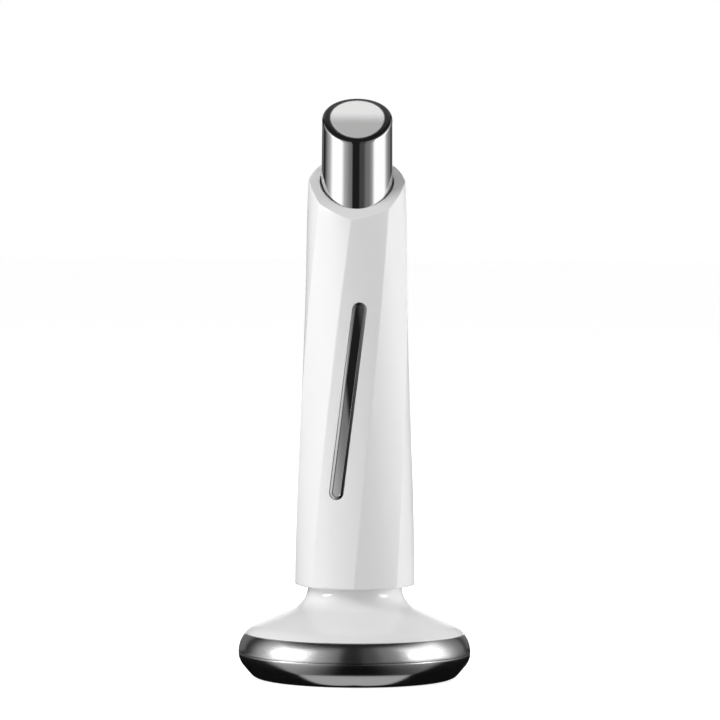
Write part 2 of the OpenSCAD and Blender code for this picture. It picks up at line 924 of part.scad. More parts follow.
// Round shoulder from the straight part down to a height
function shoulder_points(shift, low_z) =
    let (end = asin((low_z - seam_z) / (shoulder_r + shift)))
    [for (i = [0 : round_steps])
        let (a = 90 - shoulder_slope - (90 - shoulder_slope - end) * i / round_steps)
        [shoulder_centre[0] + (shoulder_r + shift) * cos(a),
         shoulder_centre[1] + (shoulder_r + shift) * sin(a)]];

module base_housing() {
    neck_core_r = neck_r - base_wall;
    color("white")
        difference() {
            union() {
                rotate_extrude($fn = 128)
                    polygon(concat(
                        [[neck_core_r - 1.2, handle_low_z - fit], [neck_r, handle_low_z - fit]],
                        sweep_points(0),
                        shoulder_points(0, ring_top_z),
                        [[skirt_r, ring_top_z], [skirt_r, skirt_low_z],
                         [skirt_r - 1.5, skirt_low_z], [skirt_r - 1.5, ring_top_z]],
                        [for (i = [round_steps : -1 : 0]) if (shoulder_points(-base_wall, ring_top_z)[i][0] < skirt_r - 1.6)
                            shoulder_points(-base_wall, ring_top_z)[i]],
                        [for (i = [round_steps : -1 : 0]) sweep_points(-base_wall)[i]]
                    ));
                difference() {
                    pipe(spigot_r, neck_core_r - 1.2, handle_low_z - 2, handle_low_z + spigot_h);
                    rotate_extrude($fn = 96)
                        translate([oring_ring_r, oring_z])
                            square(2 * (oring_r + fit), center = true);
                }
                // floor of the neck, which the screws pull against the chassis
                disc(neck_core_r, neck_floor_z, handle_low_z + spigot_h);
                // bosses for the plate carrier
                for (turn = [30, 150, 270])
                    rotate([0, 0, turn])
                        translate([plate_screw_r, 0, 0])
                            disc(boss_r, plate_floor_z + 3, boss_top_z);
            }
            for (side = [-1, 1])
                translate([side * neck_screw_x, 0, 0]) {
                    disc(1 + fit, neck_floor_z - eps, handle_low_z + spigot_h + eps);
                    disc(2.1, neck_floor_z - 4, neck_floor_z + 1.2);
                }
            disc(1.2, neck_floor_z - eps, handle_low_z + spigot_h + eps);
            for (turn = [30, 150, 270])
                rotate([0, 0, turn])
                    translate([plate_screw_r, 0, 0])
                        disc(0.9 + fit, plate_floor_z + 2.9,
                            plate_floor_z + plate_seat_h + plate_screw_l + 1.7);
        }
}

module neck_seal() {
    color("black")
        rotate_extrude($fn = 96)
            translate([oring_ring_r, oring_z])
                circle(r = oring_r);
}

module neck_screws() {
    color("silver")
        for (side = [-1, 1])
            translate([side * neck_screw_x, 0, neck_floor_z + 1.2])
                screw(1, neck_screw_l, 1.9, 1.1);
}

module trim_ring() {
    color("silver")
        rotate_extrude($fn = 128)
            polygon(concat(
                [[ring_in_r, ring_top_z - fit]],
                shoulder_points_from(ring_top_z - fit, seam_z + seam_gap / 2),
                [[base_r - 0.7, seam_z + seam_gap / 2], [base_r - 1.1, seam_z + seam_gap / 2 - 0.3],
                 [ring_in_r, seam_z + seam_gap / 2 - 0.3]]
            ));
}

// The same round shoulder, between two heights
function shoulder_points_from(high_z, low_z) =
    let (
        start = asin((high_z - seam_z) / shoulder_r),
        end = asin((low_z - seam_z) / shoulder_r)
    )
    [for (i = [0 : round_steps]) let (a = start + (end - start) * i / round_steps)
        [shoulder_centre[0] + shoulder_r * cos(a), seam_z + shoulder_r * sin(a)]];

// Edge of the massage plate from a height down to the flat, in by a distance: a round
// edge under the seam, a straight taper and a round edge at the table
function plate_points(inset, high_z) =
    let (
        high_r = plate_round_r - inset,
        low_r = plate_low_r - inset,
        start = asin((high_z - seam_z) / high_r)
    )
    concat(
        [for (i = [0 : round_steps]) let (a = start - (plate_taper + start) * i / round_steps)
            [base_r - plate_round_r + high_r * cos(a), seam_z + high_r * sin(a)]],
        [for (i = [0 : round_steps]) let (a = -plate_taper - (90 - plate_taper) * i / round_steps)
            [plate_flat_r + low_r * cos(a), plate_low_r + low_r * sin(a)]]
    );

module massage_plate() {
    top_z = seam_z - seam_gap / 2;
    color("silver")
        rotate_extrude($fn = 128)
            polygon(concat(
                [[0, 0]],
                [for (i = [2 * round_steps + 1 : -1 : 0]) plate_points(0, top_z)[i]],
                [[base_r - 0.5, top_z]],
                plate_points(plate_t, top_z - 0.5),
                [[0, plate_t]]
            ));
}

module plate_carrier() {
    rim_in = 1.0;
    floor_z = plate_floor_z;
    color("dimgray")
        difference() {
            union() {
                disc(plate_flat_r - 0.3, floor_z, floor_z + 2.4);
                // wall that centres the carrier inside the shell's skirt
                pipe(skirt_r - 1.5 - 0.05, skirt_r - 1.5 - rim_in - 0.05, floor_z, skirt_low_z + 2);
                // seats under the bosses
                for (turn = [30, 150, 270])
                    rotate([0, 0, turn])
                        translate([plate_screw_r, 0, 0])
                            disc(2.8, floor_z, floor_z + 3 - fit);
            }
            for (turn = [30, 150, 270])
                rotate([0, 0, turn])
                    translate([plate_screw_r, 0, 0]) {
                        disc(0.9 + fit, floor_z - eps, floor_z + 4);
                        disc(1.9, floor_z - eps, floor_z + plate_seat_h);
                    }
            // way for the lead to the plate
            disc(1.4, floor_z - eps, floor_z + 4);
        }
}

module plate_screws() {
    color("silver")
        for (turn = [30, 150, 270])
            rotate([0, 0, turn])
                translate([plate_screw_r, 0, plate_floor_z + plate_seat_h])
                    screw(0.9, plate_screw_l, 1.7, 1);
}

// ---- Leads ----

// Height of the heater's underside over a point
function under_heater(y) =
    face_z + sqrt(pow(face_r - face_wall - fit - heater_t, 2) - pow(y - face_y, 2));

module heater_leads() {
    y = heater_lead_y;
    solder_y = board_back_y + lead_d / 2 + 0.02;
    color("firebrick")
        for (side = [-1, 1])
            lead([[side * 0.8, y, under_heater(y - lead_d / 2) - 0.05],
                [side * 0.8, y, ledge_z + 0.6], [side * 1.2, solder_y + 0.05, chassis_top_z - 0.4],
                [side * 1.2, solder_y, board_top_z - 1.6]], [1, 0, 0]);
}

module motor_leads() {
    color("navy")
        for (side = [-1, 1])
            lead([[side * 0.55, motor_lead_y, motor_z + fit / 2],
                [side * 0.55, motor_lead_y, motor_lead_z],
                [side * 0.55, board_y - fit, motor_lead_z]], [1, 0, 0]);
}

module plate_lead() {
    solder_y = board_back_y + lead_d / 2 + 0.02;
    under_z = board_low_z - 1;
    color("firebrick")
        lead([[-1, solder_y, board_low_z + 2.4], [-1, solder_y, under_z], [-0.8, 5, under_z],
            [0, 0, under_z - 4], [0, 0, plate_t + fit]], [1, 0, 0]);
}

module strip_lead() {
    first = -asin(-strip_x / lead_ring_r);
    last = 180 - atan((board_w / 2 + 0.5) / (board_y + board_t / 2));
    color("navy")
        lead(concat([[strip_x, strip_post_y + fit, strip_z], [strip_x, 0.2 - lead_ring_r, strip_z]],
            [for (i = [0 : 9]) let (a = first + 14 + (last - first - 14) * i / 9)
                [lead_ring_r * sin(a), -lead_ring_r * cos(a), strip_z]]), [0, 0, 1]);
}

module charge_leads() {
    solder_y = board_back_y + lead_d / 2 + 0.02;
    turn = socket_turn - 180;
    color("black")
        for (side = [0, 1]) {
            x = -1.2 + 2.4 * side;
            y = socket_back_r + lead_d / 2 + 0.02;
            lead([[x * cos(turn) - y * sin(turn), x * sin(turn) + y * cos(turn), board_low_z - 2.6],
                [1.4 + 2 * side, solder_y + 0.05, board_low_z - 0.4],
                [1.5 + 1.8 * side, solder_y, board_low_z + 2.6]], [1, 0, 0]);
        }
}

// ---- The object ----

handle_shell();
strip_frame();
strip_contact();
power_button();
indicator_lens();
charge_socket();
charge_tongue();
charge_board();
charge_screws();
eye_tip();
tip_seal();
tip_heater();
tip_thermistor();
tip_carrier();
carrier_screws();
motor_sleeve();
motor_can();
motor_endcap();
motor_shaft();
motor_armature();
eccentric_weight();
chassis();
circuit_board();
board_parts();
board_screws();
tact_switch();
switch_plunger();
status_led();
battery_cell();
battery_tabs();
battery_pads();
neck_seal();
base_housing();
neck_screws();
trim_ring();
plate_carrier();
plate_screws();
massage_plate();
heater_leads();
motor_leads();
plate_lead();
strip_lead();
charge_leads();
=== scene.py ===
"""Looks of a two-ended eye massager wand: a bright slanted tip, a white twisted handle with
a mirror strip, and a white base with a bright ring and plate.

Shapes are numpy surfaces worked out from the sizes in the property groups, in metres, in
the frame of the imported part: +Z up the wand, front towards -Y, origin under the plate.
An azimuth runs from the front towards the right, +X.
"""

import json
import math

import bmesh
import bpy
import numpy as np
from bpy.props import FloatProperty, FloatVectorProperty, IntProperty, PointerProperty
from mathutils import Matrix


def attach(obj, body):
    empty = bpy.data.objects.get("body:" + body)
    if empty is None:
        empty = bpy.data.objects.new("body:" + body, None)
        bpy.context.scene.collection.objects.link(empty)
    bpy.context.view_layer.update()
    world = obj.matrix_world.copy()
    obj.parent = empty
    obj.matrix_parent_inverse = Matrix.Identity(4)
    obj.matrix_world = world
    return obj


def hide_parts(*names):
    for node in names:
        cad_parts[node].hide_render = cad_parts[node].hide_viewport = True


bl_info = {
    "name": "Eye Massager Wand",
    "version": (1, 0, 0),
    "blender": (4, 5, 0),
    "location": "3D View > Sidebar > Wand",
    "description": "Builds the visible pieces and finishes of an eye massager wand",
    "category": "Object",
}

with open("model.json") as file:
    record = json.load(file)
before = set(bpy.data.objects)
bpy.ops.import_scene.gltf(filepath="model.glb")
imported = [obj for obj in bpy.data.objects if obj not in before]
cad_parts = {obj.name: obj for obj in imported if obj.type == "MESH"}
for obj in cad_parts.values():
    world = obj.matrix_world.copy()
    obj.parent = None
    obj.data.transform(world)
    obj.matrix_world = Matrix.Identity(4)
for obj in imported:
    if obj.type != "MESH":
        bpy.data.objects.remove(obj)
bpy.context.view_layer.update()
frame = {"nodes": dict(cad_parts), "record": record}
MM = 0.001
MICROMETRE = 1e-6
TAU = 2 * math.pi
SHARP = 38  # edges bent by more degrees than this are shaded sharp
MERGE = 2e-8  # points closer than this become one
STAGE_COLUMNS = 96  # points round a turned piece of the stage


# ---- Kinds of property ----


def length(name, mm, description):
    """A size in metres, written in millimetres."""
    return FloatProperty(
        name=name, description=description, default=mm * MM, min=0, precision=5, unit="LENGTH"
    )


def place(name, mm, description):
    """A place in metres that may lie on either side of zero, written in millimetres."""
    return FloatProperty(
        name=name, description=description, default=mm * MM, precision=5, unit="LENGTH"
    )


def angle(name, degrees, description):
    """An angle, written in degrees."""
    return FloatProperty(
        name=name,
        description=description,
        default=math.radians(degrees),
        subtype="ANGLE",
        unit="ROTATION",
    )


def share(name, value, description, top=1.0):
    """A plain number from zero to a top."""
    return FloatProperty(name=name, description=description, default=value, min=0, max=top)


def colour(name, rgb, description):
    """A linear colour."""
    return FloatVectorProperty(
        name=name, description=description, default=rgb, size=3, min=0, max=1, subtype="COLOR"
    )


# ---- Sizes, colours and studio ----


class HandleSizes(bpy.types.PropertyGroup):
    """The twisted handle."""

    low_z: length("Lower edge", 20.8, "Height of the handle's lower edge")
    top_z: length("Top cut", 111.7, "Height of the slanting cut, on the axis")
    low_r: length("Lower corners", 13.5, "Radius over the corners at the lower edge")
    top_r: length("Upper corners", 10.9, "Radius over the corners at the top cut")
    swell: length("Swell", 0.33, "How far the sides swell past a straight taper")
    facets: IntProperty(name="Facets", description="Number of facets", default=8, min=3)
    twist: angle("Twist", 45, "Turn from the lower edge to the top cut")
    gather: share("Gather", 0.27, "Share of the twist that gathers towards the top")
    front_turn: angle("Front corner", -1, "Azimuth of the front corner at the lower edge")
    crown: share("Crown", 0.52, "Roundness of a facet across its width")
    corner_round: length("Corner rounding", 0.9, "Radius of the long corners")
    edge_round: length("Lower rounding", 0.5, "Radius of the lower edge")
    lip_round: length("Lip rounding", 0.22, "Radius of the edges of the top cut")
    cut_slant: angle("Cut slant", 31, "Slant of the top cut on the axis")
    cut_r: length("Cut curve", 61, "Radius of the top cut from front to back")
    bore_r: length("Tip bore", 8.3, "Radius of the bore for the tip")
    ledge_z: length("Ledge", 100, "Height of the ledge under the bore")
    cavity_top_r: length("Upper cavity", 8.95, "Radius of the cavity under the ledge")
    cavity_low_r: length("Lower cavity", 9.9, "Radius of the cavity at the lower edge")
    spigot_h: length("Spigot", 8.5, "Height of the straight part of the cavity")


class TipSizes(bpy.types.PropertyGroup):
    """The eye tip."""

    foot_r: length("Foot", 8.05, "Radius at the foot")
    draft: length("Draft", 0.15, "How much slimmer the tip is at its rim")
    foot_z: length("Foot height", 101.5, "Height of the foot")
    face_z: length("Face height", 125.9, "Height of the face on the axis")
    slant: angle("Face slant", 32, "Slant of the face on the axis")
    curve_r: length("Face curve", 110, "Radius of the face from front to back")
    rim_r: length("Rim", 0.8, "Rounding of the rim")
    satin_r: length("Satin face", 6.65, "Radius of the satin face inside the polished rim")
    wall: length("Wall", 0.75, "Wall of the tip")


class StripSizes(bpy.types.PropertyGroup):
    """The contact strip in the front facet."""

    width: length("Width", 3, "Width over the frame")
    run: length("Length", 44, "Length over the frame")
    mid_z: length("Height", 62.75, "Height of the strip's middle")
    mid_x: place("Across", -1.75, "Place of the strip's middle across the front")
    lean: angle("Lean", 6.9, "Lean to the right")
    rim_w: length("Rim", 0.58, "Width of the frame's rim")
    rim_slope: angle("Rim slope", 22, "How far the rim leans at its outer edge")
    crest_slope: angle("Crest slope", 12, "How far the rim leans at its inner crest")
    sink: length("Sink", 0.22, "Depth of the mirror floor")
    proud: length("Crest", 0.06, "How far the frame's crest stands out")
    depth: length("Depth", 1.7, "Depth of the frame in the handle")
    gap: length("Gap", 0.12, "Gap between the frame and the handle")


class BackSizes(bpy.types.PropertyGroup):
    """The button, light and charging socket on the back."""

    button_z: length("Button", 73, "Height of the button's middle")
    button_w: length("Button width", 6, "Width of the button")
    button_l: length("Button length", 12, "Length of the button")
    button_proud: length("Button crest", 0.3, "How far the button stands out of its facet")
    button_gap: length("Button gap", 0.15, "Gap round the button")
    dish: length("Dish", 0.25, "Depth of the button's dish")
    dish_r: length("Dish curve", 24, "Radius of the button's dish")
    window_z: length("Light", 83, "Height of the light window")
    window_r: length("Light radius", 0.8, "Radius of the light window")
    socket_z: length("Socket", 36.3, "Height of the socket's middle")
    socket_w: length("Socket width", 2.7, "Width of the socket's mouth")
    socket_l: length("Socket length", 7.4, "Length of the socket's mouth")
    socket_in: length("Socket set-in", 0.45, "How far the mouth lies behind its facet")
    socket_depth: length("Socket depth", 5.2, "Depth of the socket")
    mouth_gap: length("Mouth gap", 0.3, "Gap between the socket and its opening")
    round_r: length("Opening rounding", 0.25, "Rounding of the edges of the openings")


class BaseSizes(bpy.types.PropertyGroup):
    """The base with its ring and plate."""

    neck_r: length("Neck", 10.6, "Radius of the neck")
    sweep_r: length("Sweep", 5.2, "Radius of the hollow sweep below the neck")
    slope: angle("Slope", 23.4, "Slope of the shoulder")
    max_r: length("Greatest radius", 26.1, "Radius at the seam")
    seam_z: length("Seam", 5.7, "Height of the seam between ring and plate")
    shoulder_r: length("Shoulder", 6.9, "Radius of the round shoulder")
    ring_top_z: length("Ring top", 10, "Height where the white shell ends")
    round_r: length("Plate edge", 4.4, "Radius of the plate's edge below the seam")
    taper: angle("Plate taper", 40.3, "Slant of the plate's side between its two roundings")
    low_r: length("Plate corner", 2.6, "Radius of the plate's edge at the floor")
    plate_t: length("Plate wall", 0.9, "Thickness of the plate")
    wall: length("Shell wall", 2, "Wall of the white shell")
    seam_gap: length("Seam gap", 0.06, "Gap at the seam")
    lip_r: length("Lip", 0.12, "Rounding of the shell's and the plate's lips")
    ring_lip_r: length("Ring lip", 0.06, "Rounding of the ring's lips")


class Finishes(bpy.types.PropertyGroup):
    """Colours and gloss."""

    white: colour("White plastic", (0.8, 0.8, 0.8), "Colour of the handle and the base")
    white_rough: share("White gloss", 0.1, "Roughness of the white plastic")
    button: colour("Button", (0.74, 0.74, 0.75), "Colour of the button")
    metal: colour("Plating", (0.93, 0.93, 0.935), "Colour of the plated metal")
    metal_rough: share("Plating gloss", 0.045, "Roughness of the plated metal")
    ring_rough: share("Ring gloss", 0.2, "Roughness of the ring and the plate")
    frame: colour("Strip frame", (0.5, 0.5, 0.505), "Colour of the strip's darker frame")
    satin_rough: share("Satin gloss", 0.3, "Roughness of the tip's satin face")
    satin_shift: length("Satin shift", 0.3, "How far the satin face lies to the front")
    # Painted shade: less metal at the back than at the front makes the satin face paler at its
    # back.
    satin_back: share("Satin metal, back", 0.04, "How metallic the satin face looks at its back")
    satin_front: share("Satin metal, front", 0.5, "How metallic the satin face looks at its front")
    mirror: colour("Strip mirror", (0.97, 0.97, 0.98), "Colour of the strip's floor")


class StudioSizes(bpy.types.PropertyGroup):
    """Camera, lamps and surroundings."""

    distance: length("Distance", 1055, "Distance of the camera from the point it aims at")
    aim_x: place("Aim across", 0.9, "Place of the aim across the wand")
    aim_z: length("Aim height", 71.42, "Height of the aim on the wand's axis")
    pitch: angle("Pitch", 2.56, "How far the camera looks down")
    roll: angle("Roll", 0.31, "Turn of the camera about its line of sight")
    lens: FloatProperty(name="Lens", description="Focal length in mm", default=235, min=1)
    ambient: share("Ambient", 0.25, "Tone that the even light gives a white surface", 4)
    left: share("Left lamp", 0.37, "Tone that the left lamp gives a surface facing it", 8)
    high: share("High left lamp", 0.65, "Tone that the high left lamp gives a surface facing it", 8)
    right: share("Right lamp", 0.6, "Tone that the right lamp gives a surface facing it", 8)
    high_right: share("High right lamp", 0.22, "Tone that the high right lamp gives", 8)
    rim: share("Rim lamp", 0.54, "Tone that the lamp behind on the right gives", 8)
    back: share("Back lamp", 0.4, "Tone that the lamp behind gives a surface facing it", 8)
    floor_glow: share("Floor", 0.72, "How white the floor shows by itself")


def group(kind, name, description):
    """A group of settings."""
    return PointerProperty(type=kind, name=name, description=description)


class WandSettings(bpy.types.PropertyGroup):
    """All settings of the wand."""

    handle: group(HandleSizes, "Handle", "Handle sizes")
    tip: group(TipSizes, "Tip", "Eye tip sizes")
    strip: group(StripSizes, "Strip", "Contact strip sizes")
    back: group(BackSizes, "Back", "Button, light and socket sizes")
    base: group(BaseSizes, "Base", "Base sizes")
    finish: group(Finishes, "Finishes", "Colours and gloss")
    studio: group(StudioSizes, "Studio", "Camera and light")


def settings():
    """The wand's settings in this scene."""
    return bpy.context.scene.wand


# ---- Meshes from arrays ----


def arc(start, end, steps):
    """Evenly spaced angles in degrees, given back in radians."""
    return np.radians(np.linspace(start, end, steps))


def unit(v):
    """Vectors along the last axis, made one long."""
    return v / np.linalg.norm(v, axis=-1, keepdims=True)


def grid_faces(rows, columns, ring_rows):
    """Quads between neighbours of a grid whose columns close on themselves.

    Point (row, column) is number row * columns + column. ring_rows joins the last row
    to the first one too.
    """
    r = np.arange(rows if ring_rows else rows - 1)[:, None]
    c = np.arange(columns)[None, :]
    r1, c1 = (r + 1) % rows, (c + 1) % columns
    quads = [r * columns + c, r * columns + c1, r1 * columns + c1, r1 * columns + c]
    return np.stack(np.broadcast_arrays(*quads), -1).reshape(-1, 4)


def closed_mesh(name, vertices, faces, crease=SHARP):
    """A mesh whose doubled points are merged and whose faces are turned outwards.

    Edges bent by more than the crease angle are shaded sharp.
    """
    mesh = bpy.data.meshes.new(name)
    mesh.from_pydata(vertices.reshape(-1, 3), [], faces.tolist())
    work = bmesh.new()
    work.from_mesh(mesh)
    bmesh.ops.remove_doubles(work, verts=work.verts, dist=MERGE)
    bmesh.ops.dissolve_degenerate(work, edges=work.edges, dist=1e-9)
    bmesh.ops.recalc_face_normals(work, faces=work.faces)
    work.to_mesh(mesh)
    work.free()
    mesh.shade_smooth()
    mesh.set_sharp_from_angle(angle=math.radians(crease))
    return mesh


def piece(name, rows, material, ring_rows=True, crease=SHARP):
    """An object whose surface runs through rows of points, each row a closed ring.

    ring_rows closes the last row onto the first; otherwise both end in a pole or a flat.
    """
    rows = np.asarray(rows)
    faces = grid_faces(rows.shape[0], rows.shape[1], ring_rows)
    return put(name, closed_mesh(name, rows, faces, crease), material)


def put(name, mesh, material):
    """An object of a mesh, in the scene, with its material."""
    mesh.materials.append(material)
    thing = bpy.data.objects.new(name, mesh)
    bpy.context.scene.collection.objects.link(thing)
    return thing


def dress(thing, body, node, slot):
    """The object rides on a body and stands for a node, whose part is hidden. The slot is not used.
    """
    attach(thing, body)
    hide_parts(node)


def part(name, rows, node, slot, body="handle", **shape):
    """A piece that stands for a node, with the finish of its slot."""
    dress(piece(name, rows, finish(slot), **shape), body, node, slot)


def turned(profile, columns=224):
    """Rows of a turned form: each (radius, height) of the profile carried round the axis."""
    profile = np.asarray(profile, float)
    turn = np.arange(columns) / columns * TAU
    r, z = profile[:, :1], profile[:, 1:]
    return np.stack(np.broadcast_arrays(r * np.cos(turn), r * np.sin(turn), z), -1)


def around(r, azimuth, z):
    """Points at a distance from the axis, an azimuth and a height."""
    return np.stack(np.broadcast_arrays(r * np.sin(azimuth), -r * np.cos(azimuth), z), -1)


def bow(centre, radius, turn):
    """Profile points (radius, height) of an arc about its centre, by angle."""
    return np.stack([centre[0] + radius * np.cos(turn), centre[1] + radius * np.sin(turn)], -1)


def round_corner(before, corner, after, radius, steps=6):
    """A profile corner swapped for an arc that touches both of its sides.

    The arc starts radius / tan(half the corner's angle) from the corner, and its centre lies
    on the bisector at radius / sin(half the angle).
    """
    corner = np.asarray(corner, float)
    a, b = unit(np.subtract(before, corner)), unit(np.subtract(after, corner))
    half = 0.5 * math.acos(np.clip(a @ b, -1, 1))
    centre = corner + unit(a + b) * radius / math.sin(half)
    start = corner + a * radius / math.tan(half) - centre
    end = corner + b * radius / math.tan(half) - centre
    t = np.linspace(0, 1, steps)[:, None]
    swing = math.acos(np.clip(unit(start) @ unit(end), -1, 1))
    return centre + (np.sin((1 - t) * swing) * start + np.sin(t * swing) * end) / math.sin(swing)


# ---- The handle's form ----


class HandleForm:
    """The twisted handle's outer surface, as a distance from the axis by azimuth and height."""

    def __init__(self, h):
        self.h = h
        self.step = TAU / h.facets
        self.half = self.step / 2
        crown = h.crown * self.half
        self.arc_r = math.sin(self.half) / math.sin(crown)
        self.arc_in = self.arc_r * math.cos(crown) - math.cos(self.half)
        self.cut_y = h.cut_r * math.sin(h.cut_slant)
        self.cut_z = h.top_z - h.cut_r * math.cos(h.cut_slant)

    def rise(self, z):
        """Share of the way from the lower edge to the cut."""
        return (z - self.h.low_z) / (self.h.top_z - self.h.low_z)

    def corner_r(self, z):
        """Radius over the corners: a straight taper plus a parabola of the swell."""
        t = self.rise(z)
        return self.h.low_r + (self.h.top_r - self.h.low_r) * t + 4 * self.h.swell * t * (1 - t)

    def facet_r(self, z):
        """Distance of a facet's middle line from the axis."""
        return self.corner_r(z) * (self.arc_r - self.arc_in)

    def turn(self, z):
        """Azimuth of the front corner: an even twist plus a part that grows as a square."""
        t, g = self.rise(z), self.h.gather
        return self.h.front_turn + self.h.twist * ((1 - g) * t + g * t * t)

    def radius(self, azimuth, z):
        """Distance of the surface from the axis.

        A facet is an arc whose centre lies behind the axis, and the distance is where a ray
        from the axis meets it. Near a corner it is where the ray meets a small circle that
        touches the arcs of both facets, with its centre on the corner's ray.
        """
        big = self.corner_r(z)
        a, c, f = big * self.arc_r, big * self.arc_in, self.h.corner_round
        theta = np.abs(np.mod(azimuth - self.turn(z), self.step) - self.half)
        flat = np.sqrt(a * a - (c * np.sin(theta)) ** 2) - c * np.cos(theta)
        sine, cosine = math.sin(self.half), math.cos(self.half)
        d = np.sqrt((a - f) ** 2 - (c * sine) ** 2) - c * cosine
        k = a / (a - f)
        touch = np.arctan2(d * sine * k, (d * cosine + c) * k - c)
        delta = self.half - theta
        inside = np.maximum(f * f - (d * np.sin(delta)) ** 2, 0)
        return np.where(theta > touch, d * np.cos(delta) + np.sqrt(inside), flat)

    def point(self, azimuth, z, grow=0.0):
        """Point of the surface, moved out from the axis by a distance."""
        return around(self.radius(azimuth, z) + grow, azimuth, z)

    def normal(self, azimuth, z):
        """Outward normal: the cross product of the slopes along azimuth and height."""
        e, s = 1e-5, 1e-7
        across = self.point(azimuth + e, z) - self.point(azimuth - e, z)
        up = self.point(azimuth, z + s) - self.point(azimuth, z - s)
        return unit(np.cross(across, up))

    def cut_height(self, y):
        """Height of the top cut, an arc of a round bar that lies across the wand."""
        return self.cut_z + np.sqrt(self.h.cut_r**2 - (y - self.cut_y) ** 2)

    def cut_normal(self, y):
        """Upward normal of the top cut: from the bar's axis to the point."""
        up = np.sqrt(self.h.cut_r**2 - (y - self.cut_y) ** 2)
        return unit(np.stack([0 * y, y - self.cut_y, up], -1))


def lip(edge, n1, n2, radius, steps=6):
    """Rows of a rounding along an edge, from one surface's normal to the other's.

    Its centre lies a radius inside both surfaces; the normals swing evenly between them.
    """
    cosine = np.sum(n1 * n2, -1, keepdims=True)
    centre = edge - radius * (n1 + n2) / (1 + cosine)
    swing = np.arccos(np.clip(cosine, -1, 1))
    t = np.linspace(0, 1, steps)[:, None, None]
    return centre + radius * (np.sin((1 - t) * swing) * n1 + np.sin(t * swing) * n2) / np.sin(swing)


def handle_rows(form, rows=150):
    """Rings of the handle: up its facets, over the cut, down the bore and the cavity.

    Columns keep their places on the facets, so they twist with them; they are closest at
    the corners. The upper ends of the columns lie on the cut, found by going back and forth
    between the height at a point and the point at a height.
    """
    h = form.h
    fine = np.array([0, 0.008, 0.017, 0.028, 0.045])
    shares = np.concatenate([fine, np.linspace(0.08, 0.92, 15), 1 - fine[:0:-1]])
    local = (np.arange(h.facets)[:, None] + shares).ravel() * form.step
    low = []
    for a in arc(0, 90, 7):
        z = h.low_z + h.edge_round * (1 - math.cos(a))
        low.append(form.point(local + form.turn(z), z, -h.edge_round * (1 - math.sin(a))))
    top = np.full_like(local, h.top_z)
    for _ in range(24):
        azimuth = local + form.turn(top)
        top = form.cut_height(-form.radius(azimuth, top) * np.cos(azimuth))
    azimuth = local + form.turn(top)
    edge = form.point(azimuth, top)
    outer = lip(edge, form.normal(azimuth, top), form.cut_normal(edge[:, 1]), h.lip_round)
    start = h.low_z + h.edge_round
    heights = start + (outer[0][:, 2] - start) * np.linspace(0, 1, rows)[1:-1, None]
    side = form.point(local + form.turn(heights), heights)
    out = np.stack([np.sin(azimuth), -np.cos(azimuth)], -1)
    bore = out * h.bore_r
    bore_edge = np.column_stack([bore, form.cut_height(bore[:, 1])])
    inward = np.column_stack([-out, np.zeros(len(out))])
    inner = lip(bore_edge, form.cut_normal(bore_edge[:, 1]), inward, h.lip_round)
    cut = outer[-1] + (inner[0] - outer[-1]) * np.array([0.25, 0.5, 0.75])[:, None, None]
    cut[..., 2] = form.cut_height(cut[..., 1])
    turn = local + form.turn(h.ledge_z)
    bore_rows = []
    for t in np.linspace(0, 1, 10)[1:]:
        a = azimuth + (turn - azimuth) * t
        z = inner[-1][:, 2] + (h.ledge_z - inner[-1][:, 2]) * t
        bore_rows.append(around(h.bore_r, a, z))
    cone_z = h.low_z + h.spigot_h
    inside = [(h.cavity_top_r, h.ledge_z)]
    for t in np.linspace(0, 1, 30)[1:]:
        r = h.cavity_top_r + (h.cavity_low_r - h.cavity_top_r) * t
        inside.append((r, h.ledge_z + (cone_z - h.ledge_z) * t))
    inside += [(h.cavity_low_r, h.low_z + 0.2 * MM), (h.cavity_low_r + 0.2 * MM, h.low_z)]
    hollow = [around(r, local + form.turn(z), z) for r, z in inside]
    return np.concatenate([low, side, outer, cut, inner, bore_rows, hollow])


def stadium(width, run, count=20):
    """Outline with round ends: points (across, along) and their outward normals."""
    half, r = (run - width) / 2, width / 2
    t = arc(0, 180, count)
    way = np.linspace(-half, half, 4 * count)[1:-1]
    one, none = np.ones_like(way), np.zeros_like(way)
    right = np.column_stack([r * one, way, one, none])
    left = np.column_stack([-r * one, -way, -one, none])
    top = np.column_stack([r * np.cos(t), half + r * np.sin(t), np.cos(t), np.sin(t)])
    both = np.concatenate([right, top, left, top * -1])
    return both[:, :2], both[:, 2:]


